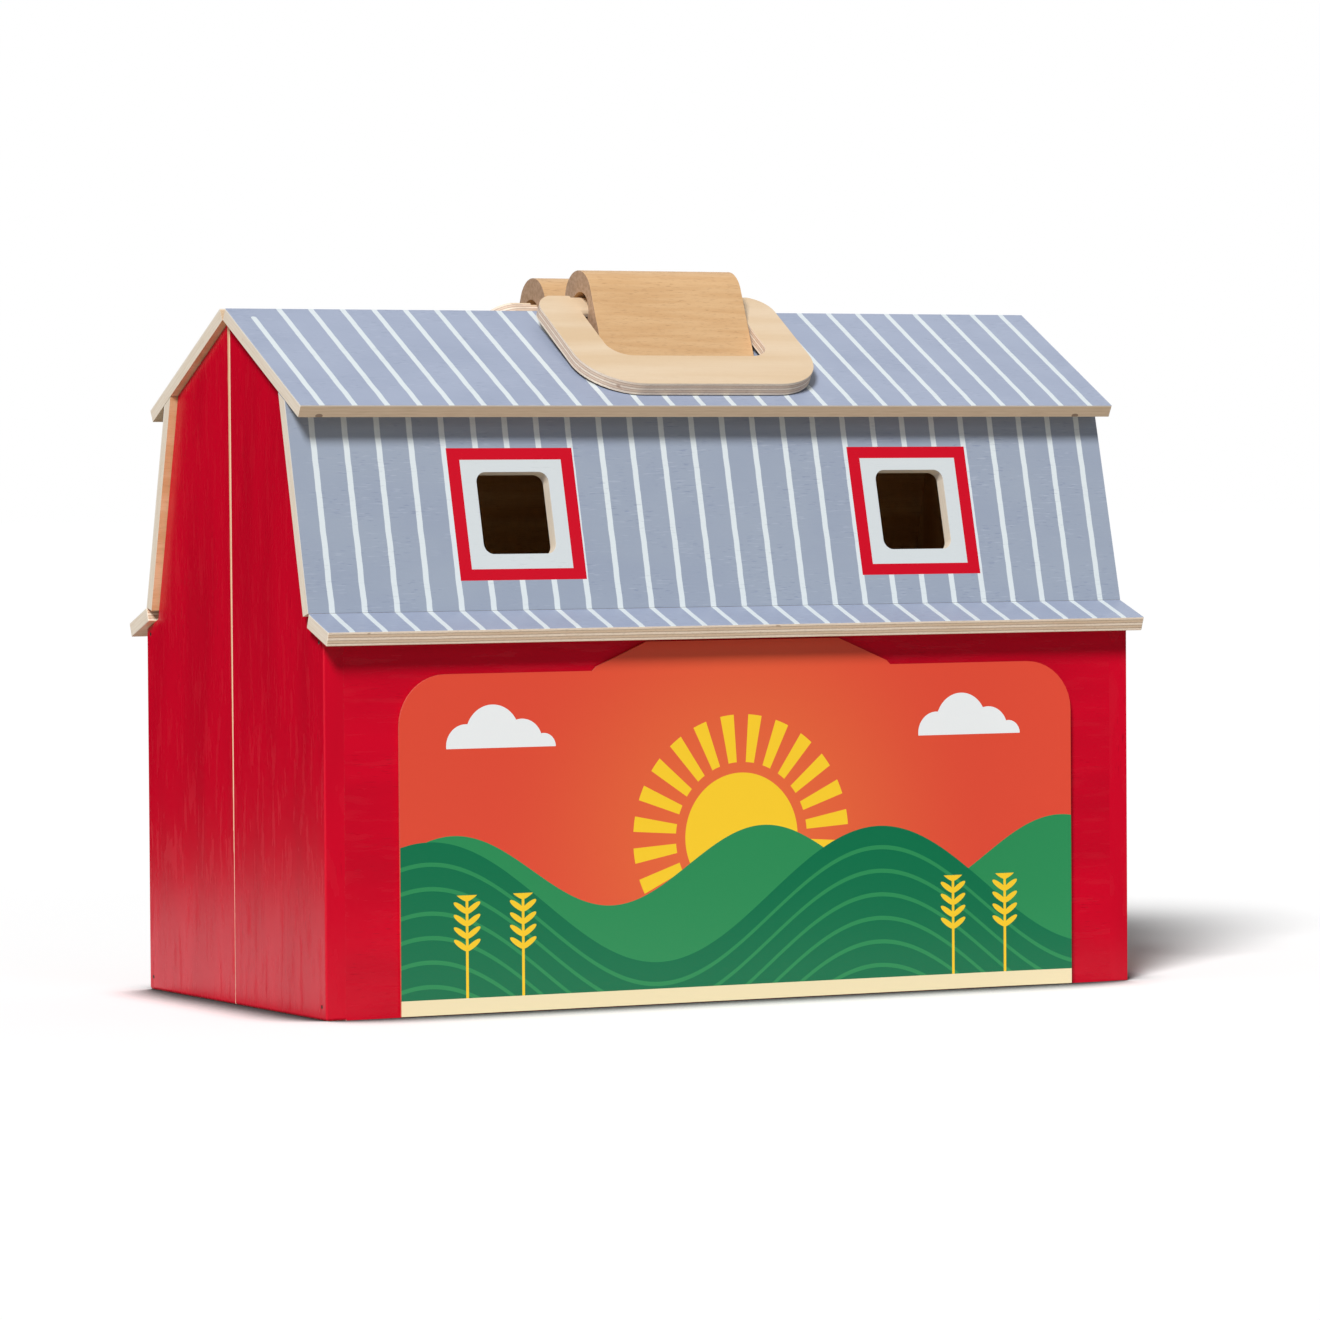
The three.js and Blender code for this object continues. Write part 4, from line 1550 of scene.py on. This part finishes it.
@dataclass
class Hinge:
    """The full-height hinge on the +X gables: two leaves with their knuckles, a pin and screws."""

    stock: Stock
    face: float = 171.5 * MM
    axis: float = 173.9 * MM
    bottom: float = 12 * MM
    top: float = 242 * MM
    knuckles: int = 20
    knuckle_radius: float = 2.1 * MM
    bore_radius: float = 1.3 * MM
    gap: float = 0.3 * MM
    leaf: float = 0.8 * MM
    leaf_width: float = 11 * MM
    web_share: float = 0.75
    ease: float = 0.15 * MM
    pin_radius: float = 1 * MM
    pin_head: float = 1.6 * MM
    pin_head_height: float = 1 * MM
    pin_round: float = 0.3 * MM
    pin_sides: int = 32
    screws: int = 4
    screw_head: float = 1.9 * MM
    screw_head_height: float = 0.6 * MM
    screw_radius: float = 1 * MM
    screw_bite: float = 5 * MM
    sides: int = 32
    crease: float = math.radians(40)

    def build(self) -> None:
        """Builds the leaves, the pin and the screws."""
        for first, side in enumerate(Side):
            self._leaf(side, first)
            self._screws(side)
        self._pin()

    def _leaf(self, side: Side, first: int) -> None:
        """Builds one leaf, which holds every second knuckle.

        Args:
            side: the half of the barn that it is screwed to.
            first: number of its lowest knuckle, from 0.
        """
        node = side.node("hinge_leaf")
        out = side.out().y
        pitch = (self.top - self.bottom) / self.knuckles
        length = pitch - self.gap
        near = self.knuckle_radius + self.gap
        recipe = Recipe(node)
        tall = recipe.size("Knuckle Length", length)
        knuckle = recipe.rod(recipe.size("Knuckle Radius", self.knuckle_radius), tall, self.sides)
        bore = recipe.rod(recipe.size("Bore Radius", self.bore_radius), pitch, self.sides)
        web_size = Vector((self.leaf * self.web_share, near + self.leaf, length))
        web_middle = self.face + self.leaf * (1 - self.web_share / 2)
        web_shift = Vector((web_middle - self.axis, out * web_size.y / 2, 0.0))
        web = recipe.block(recipe.size("Web Size", web_size))
        web = recipe.moved(web, recipe.size("Web Shift", web_shift))
        solid = recipe.cut(recipe.joined([knuckle, web]), [bore])
        row = recipe.row(
            solid, recipe.size("Knuckles", self.knuckles // 2),
            recipe.size("First Knuckle", Vector((self.axis, 0.0, self.bottom + pitch * (first + 0.5)))),
            recipe.size("Step", Vector((0.0, 0.0, pitch * 2))))
        width = self.leaf_width - near
        plate = recipe.block(recipe.size("Leaf Size", Vector((self.leaf, width, self.top - self.bottom))))
        plate = recipe.moved(plate, recipe.size("Leaf Centre", Vector((
            self.face + self.leaf / 2, out * (near + width / 2), (self.top + self.bottom) / 2))))
        mesh = recipe.run(node, recipe.joined([plate, row]), self.stock.brass, self.ease)
        placed(node + "_piece", mesh, [node])

    def _screws(self, side: Side) -> None:
        """Builds the screws of one leaf.

        Args:
            side: the half of the barn that they hold the leaf to.
        """
        pitch = (self.top - self.bottom) / self.screws
        near = self.knuckle_radius + self.gap
        middle = near + (self.leaf_width - near) / 2
        seat = self.leaf + self.gap
        FastenerRow(
            side.node("hinge_screws"), "brass", self.stock.brass, Drive.CROSS, count=self.screws,
            first=Vector((self.face + seat, side.out().y * middle, self.bottom + pitch / 2)),
            step=UP * pitch, turn=Vector((0.0, QUARTER_TURN, 0.0)),
            head_radius=self.screw_head, head_height=self.screw_head_height,
            shank_radius=self.screw_radius, shank_length=self.screw_bite + seat,
        ).build([side.node(f"hinge_screw_{index + 1}") for index in range(self.screws)])

    def _pin(self) -> None:
        """Builds the pin with its two rounded heads."""
        low = self.bottom - self.gap
        high = self.top + self.gap
        inner = self.pin_head - self.pin_round
        outline = [
            (0.0, low - self.pin_head_height), (inner, low - self.pin_head_height),
            (self.pin_head, low - self.pin_head_height + self.pin_round), (self.pin_head, low),
            (self.pin_radius, low), (self.pin_radius, high), (self.pin_head, high),
            (self.pin_head, high + self.pin_head_height - self.pin_round),
            (inner, high + self.pin_head_height), (0.0, high + self.pin_head_height),
        ]
        work = bmesh.new()
        points = [work.verts.new((self.axis + radius, 0.0, height)) for radius, height in outline]
        edges = [work.edges.new(pair) for pair in zip(points, points[1:])]
        bmesh.ops.spin(work, geom=[*points, *edges], cent=(self.axis, 0.0, 0.0), axis=UP,
                       angle=math.tau, steps=self.pin_sides, use_merge=True)
        bmesh.ops.remove_doubles(work, verts=work.verts, dist=WELD)
        bmesh.ops.recalc_face_normals(work, faces=work.faces)
        for face in work.faces:
            face.smooth = True
        mesh = poured("hinge_pin", work)
        mesh.materials.append(self.stock.steel)
        mesh.set_sharp_from_angle(angle=self.crease)
        placed("hinge_pin_piece", mesh, ["hinge_pin"])


@dataclass
class Fastenings:
    """The screws under the handle blocks and the brads that hold the gables to the long walls."""

    side: Side
    stock: Stock
    ridge: float = 263.1 * MM
    pitch: float = math.radians(28.66)
    down: float = 27.5 * MM
    rear_shift: float = 4 * MM
    roof: float = 5 * MM
    gap: float = 0.3 * MM
    bite: float = 6 * MM
    spread: float = 21.65 * MM
    screw_head: float = 3.4 * MM
    screw_head_height: float = 2 * MM
    screw_radius: float = 1.6 * MM
    wall: float = 82.8 * MM
    house_end: float = 171.5 * MM
    brad_inset: float = 3.6 * MM
    brad_low: float = 5 * MM
    brad_high: float = 138 * MM
    brad_head: float = 0.75 * MM
    brad_height: float = 0.2 * MM
    brad_radius: float = 0.5 * MM
    brad_length: float = 4 * MM

    def build(self) -> None:
        """Builds the handle screws and the brads."""
        self._handle_screws()
        inset = self.side.out().y * (self.wall - self.brad_inset)
        for name, end in (("free_end_brads", -1.0), ("hinge_end_brads", 1.0)):
            FastenerRow(
                self.side.node(name), "steel", self.stock.brad, Drive.PLAIN, count=2,
                first=Vector((end * self.house_end, inset, self.brad_low)),
                step=UP * (self.brad_high - self.brad_low), turn=Vector((0.0, end * QUARTER_TURN, 0.0)),
                head_radius=self.brad_head, head_height=self.brad_height,
                shank_radius=self.brad_radius, shank_length=self.brad_length,
            ).add_to(self.side.value + "_half")

    def _handle_screws(self) -> None:
        """Builds the two screws that come up through the roof into the block."""
        low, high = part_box(self.side.node("handle_block"))
        out = self.side.out().y
        depth = -self.roof - self.gap
        down = self.down + (self.rear_shift if self.side is Side.REAR else 0.0)
        seat = Vector((
            (low.x + high.x) / 2 - self.spread,
            out * (down * math.cos(self.pitch) + depth * math.sin(self.pitch)),
            self.ridge - down * math.sin(self.pitch) + depth * math.cos(self.pitch),
        ))
        FastenerRow(
            self.side.node("handle_screws"), "steel", self.stock.steel, Drive.CROSS, count=2,
            first=seat, step=ALONG_RIDGE * self.spread * 2,
            turn=Vector((math.pi - out * self.pitch, 0.0, 0.0)),
            head_radius=self.screw_head, head_height=self.screw_head_height,
            shank_radius=self.screw_radius, shank_length=self.bite - depth,
        ).build([self.side.node(f"handle_screw_{index}") for index in (1, 2)])


# Loose and half-height pieces


@dataclass
class StallFittings:
    """The half-height board across one stall, and the loose plywood ladder."""

    stock: Stock
    ladder_lean: float = math.radians(24)
    ease: float = 0.5 * MM

    def build(self) -> None:
        """Builds the board and the ladder."""
        stock = self.stock
        Board("stall_board", "pine", Side.REAR.out(), ALONG_RIDGE, stock.pine, stock.pine,
              stock.pine, end=stock.reveal, radius=self.ease).build()
        lean = self.ladder_lean
        outward = Vector((0.0, math.cos(lean), math.sin(lean)))
        along = Vector((0.0, -math.sin(lean), math.cos(lean)))
        Board("ladder", "plywood", outward, along, stock.birch, stock.birch,
              stock.ring_edge, radius=self.ease / 2).build()


@dataclass
class DisplayCard:
    """The printed card that stands against the front wall."""

    columns: int = 96
    rows: int = 24
    curl: float = 1.4 * MM
    curl_start: float = 105 * MM
    flat_share: float = 0.7
    edge_pale: Tone = tone(208, 92, 74)
    edge_dark: Tone = tone(186, 72, 58)

    def build(self) -> None:
        """Builds the card as a thin shell with a slight curl at its right end."""
        low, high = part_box("display_card")
        work = copied("display_card")
        for count, way in ((self.columns, ALONG_RIDGE), (self.rows, UP)):
            for index in range(1, count):
                geometry = [*work.verts, *work.edges, *work.faces]
                plane = low.lerp(high, index / count)
                bmesh.ops.bisect_plane(work, geom=geometry, plane_co=plane, plane_no=way)
        mesh = poured("display_card", work)
        place = mesh.attributes.new(BOARD, "FLOAT_VECTOR", "POINT")
        for vertex, entry in zip(mesh.vertices, place.data):
            entry.vector = (vertex.co.x / MM, vertex.co.z / MM, (vertex.co.y - low.y) / MM)
            share = max(0.0, vertex.co.x - self.curl_start) / (high.x - self.curl_start)
            vertex.co.y -= self.curl * share ** 2
        mesh.materials.append(CardPrint().build())
        mesh.materials.append(CardStock("card_back").build())
        mesh.materials.append(CardStock("card_edge", self.edge_pale, self.edge_dark).build())
        mesh.update()
        for face in mesh.polygons:
            facing = face.normal.dot(Side.FRONT.out())
            outer = FACE if facing > 0 else BACK
            face.material_index = EDGE if abs(facing) < self.flat_share else outer
        placed("display_card_print", mesh, ["display_card"])


# The studio


@dataclass(frozen=True)
class Lamp:
    """A soft lamp, told by its direction from the barn."""

    name: str
    azimuth: float
    elevation: float
    strength: float


@dataclass
class Studio:
    """A white floor, two soft lamps, a bright room and the camera of the photograph."""

    azimuth: float = math.radians(-27.52)
    elevation: float = math.radians(1.67)
    roll: float = math.radians(-0.38)
    distance: float = 2330 * MM
    target: tuple[float, float, float] = (9.7 * MM, 0.0, 126.3 * MM)
    focal_pixels: float = 5978.0
    frame_pixels: float = 1320.0
    sensor: float = 36.0
    view_end: float = 100.0
    floor_size: float = 60.0
    floor_seen: float = 1.13
    floor_bounce: float = 0.52
    # painted shade along the foot of the walls: its darkest colour, how far it reaches and how it fades
    floor_painted_shade: float = 0.06
    painted_shade_reach: float = 43 * MM
    painted_shade_shares: Limits = (0.5, 0.9)
    room_strength: float = 0.15
    lamp_angle: float = math.radians(16)
    key: Lamp = Lamp("key_lamp", math.radians(-43), math.radians(40), 3.58)
    fill: Lamp = Lamp("fill_lamp", math.radians(8), math.radians(18), 0.14)
    gable_flag: float = 0.58
    front_flag: float = 0.2
    flag_width: float = 1.1
    flag_height: float = 1.6

    def build(self) -> None:
        """Builds the floor, the lights and the camera."""
        self._camera()
        self._floor()
        self._room()
        self._shine(self.key)
        self._shine(self.fill)
        low, high = cad_box
        self._flag("gable_flag", -ALONG_RIDGE, Vector((low[0], 0.0, 0.0)), self.gable_flag)
        middle = Vector(((low[0] + high[0]) / 2, low[1], 0.0))
        self._flag("front_flag", Side.FRONT.out(), middle, self.front_flag)
        bpy.context.scene.view_settings.view_transform = "Standard"

    def _from(self, azimuth: float, elevation: float) -> Vector:
        """Finds the way from the barn to a place.

        Args:
            azimuth: the place's angle round the barn, from the front wall.
            elevation: its angle over the floor.

        Returns:
            The way, of length 1.
        """
        return Vector((
            math.sin(azimuth) * math.cos(elevation),
            -math.cos(azimuth) * math.cos(elevation),
            math.sin(elevation),
        ))

    def _aim(self, thing: bpy.types.Object, place: Vector, target: Vector,
             roll: float = 0.0) -> None:
        """Puts an object at a place and turns its -Z axis to a target.

        Args:
            thing: the object.
            place: where it goes.
            target: the point that it looks at.
            roll: its turn about that axis.
        """
        back = (place - target).normalized()
        right = UP.cross(back).normalized()
        above = back.cross(right)
        turned_right = right * math.cos(roll) + above * math.sin(roll)
        turned_up = above * math.cos(roll) - right * math.sin(roll)
        axes = Matrix((turned_right, turned_up, back)).transposed()
        thing.matrix_world = Matrix.Translation(place) @ axes.to_4x4()

    def _camera(self) -> None:
        """Makes the camera of the photograph."""
        lens = bpy.data.cameras.new("photo_camera")
        lens.sensor_width = self.sensor
        lens.sensor_fit = "HORIZONTAL"
        lens.lens = self.sensor * self.focal_pixels / self.frame_pixels
        lens.clip_end = self.view_end
        camera = drafted("photo_camera", lens)
        target = Vector(self.target)
        place = target + self._from(self.azimuth, self.elevation) * self.distance
        self._aim(camera, place, target, self.roll)
        bpy.context.scene.camera = camera

    def _seen(self, graph: Graph) -> Field:
        """Tells the light that is seen from the light that falls on things.

        Args:
            graph: the shader tree.

        Returns:
            1 for rays of the camera and of mirrors and glass, and 0 for diffuse light.
        """
        path = graph.add("ShaderNodeLightPath")
        camera = Field(graph, path.outputs["Is Camera Ray"])
        mirror = Field(graph, path.outputs["Is Glossy Ray"])
        glass = Field(graph, path.outputs["Is Transmission Ray"])
        return camera.most(mirror).most(glass)

    def _painted_foot_shade(self, graph: Graph) -> Field:
        """Paints shade into the floor's colour along the foot of a wall, and leaves the open floor as it
        is.

        Args:
            graph: the shader tree.

        Returns:
            0 close against a wall, and 1 a little way off.
        """
        node = graph.add("ShaderNodeAmbientOcclusion")
        graph.feed(node.inputs["Distance"], self.painted_shade_reach)
        return Field(graph, node.outputs["AO"]).ramp(*self.painted_shade_shares)

    def _floor(self) -> None:
        """Makes the floor, which looks white outside the shadow, has shade painted along the foot of each
        wall, and lights the barn little.
        """
        graph = Graph("studio_floor")
        shader = graph.add("ShaderNodeBsdfDiffuse")
        # painted shade: the floor's seen colour goes dark close against the barn's walls
        shown = graph.mix(self._painted_foot_shade(graph), grey(self.floor_painted_shade), grey(self.floor_seen))
        colour = graph.mix(self._seen(graph), grey(self.floor_bounce), shown)
        graph.feed(shader.inputs["Color"], colour)
        graph.close(shader)
        half = self.floor_size / 2
        corners = [(-half, -half, 0), (half, -half, 0), (half, half, 0), (-half, half, 0)]
        drafted("studio_floor", self._sheet("studio_floor", corners, graph.owner))

    def _sheet(self, name: str, corners: Sequence[Sequence[float]],
               material: bpy.types.Material) -> bpy.types.Mesh:
        """Makes a flat sheet.

        Args:
            name: name of its mesh.
            corners: its four corners, in order round it.
            material: its material.

        Returns:
            The mesh.
        """
        mesh = bpy.data.meshes.new(name)
        mesh.from_pydata(corners, [], [range(4)])
        mesh.materials.append(material)
        return mesh

    def _room(self) -> None:
        """Makes a room that lights the barn softly and looks white."""
        graph = Graph("studio_room", world=True)
        bpy.context.scene.world = graph.owner
        light = graph.add("ShaderNodeBackground")
        strength = self._seen(graph) * (1.0 - self.room_strength) + self.room_strength
        graph.feed(light.inputs["Color"], grey(1.0))
        graph.feed(light.inputs["Strength"], strength)
        graph.close(light)

    def _shine(self, lamp: Lamp) -> None:
        """Makes a lamp that lights the whole floor alike.

        Args:
            lamp: the lamp.
        """
        light = bpy.data.lights.new(lamp.name, "SUN")
        light.angle = self.lamp_angle
        light.energy = lamp.strength
        target = Vector(self.target)
        way = self._from(lamp.azimuth, lamp.elevation)
        self._aim(drafted(lamp.name, light), target + way, target)

    def _flag(self, name: str, facing: Vector, middle: Vector, distance: float) -> None:
        """Stands a black board where a painted wall mirrors it, so that the paint keeps its depth.

        Args:
            name: name of the board.
            facing: the way that the wall faces.
            middle: a point in the middle of the wall.
            distance: how far away the board stands.
        """
        view = self._from(self.azimuth, self.elevation)
        mirrored = facing * (2 * view.dot(facing)) - view
        level = Vector((mirrored.x, mirrored.y, 0.0)).normalized()
        aside = UP.cross(level) * (self.flag_width / 2)
        foot = middle + level * distance
        rise = UP * self.flag_height
        corners = [foot - aside, foot + aside, foot + aside + rise, foot - aside + rise]
        black = Graph(name).finish(grey(0.0), 1.0, Specular_IOR_Level=0.0)
        flag = drafted(name, self._sheet(name, corners, black))
        flag.visible_camera = False
        flag.visible_diffuse = False
        flag.visible_shadow = False
        flag.visible_transmission = False


def main() -> None:
    """Builds the studio and each sub-assembly."""
    logging.basicConfig(level=logging.INFO, format="%(name)s: %(message)s")
    Studio().build()
    stock = Stock()
    for side in Side:
        HalfBarn(side, stock).build()
        CarryHandle(side, stock).build()
        Fastenings(side, stock).build()
    Hinge(stock).build()
    StallFittings(stock).build()
    DisplayCard().build()


if __name__ == "__main__":
    main()
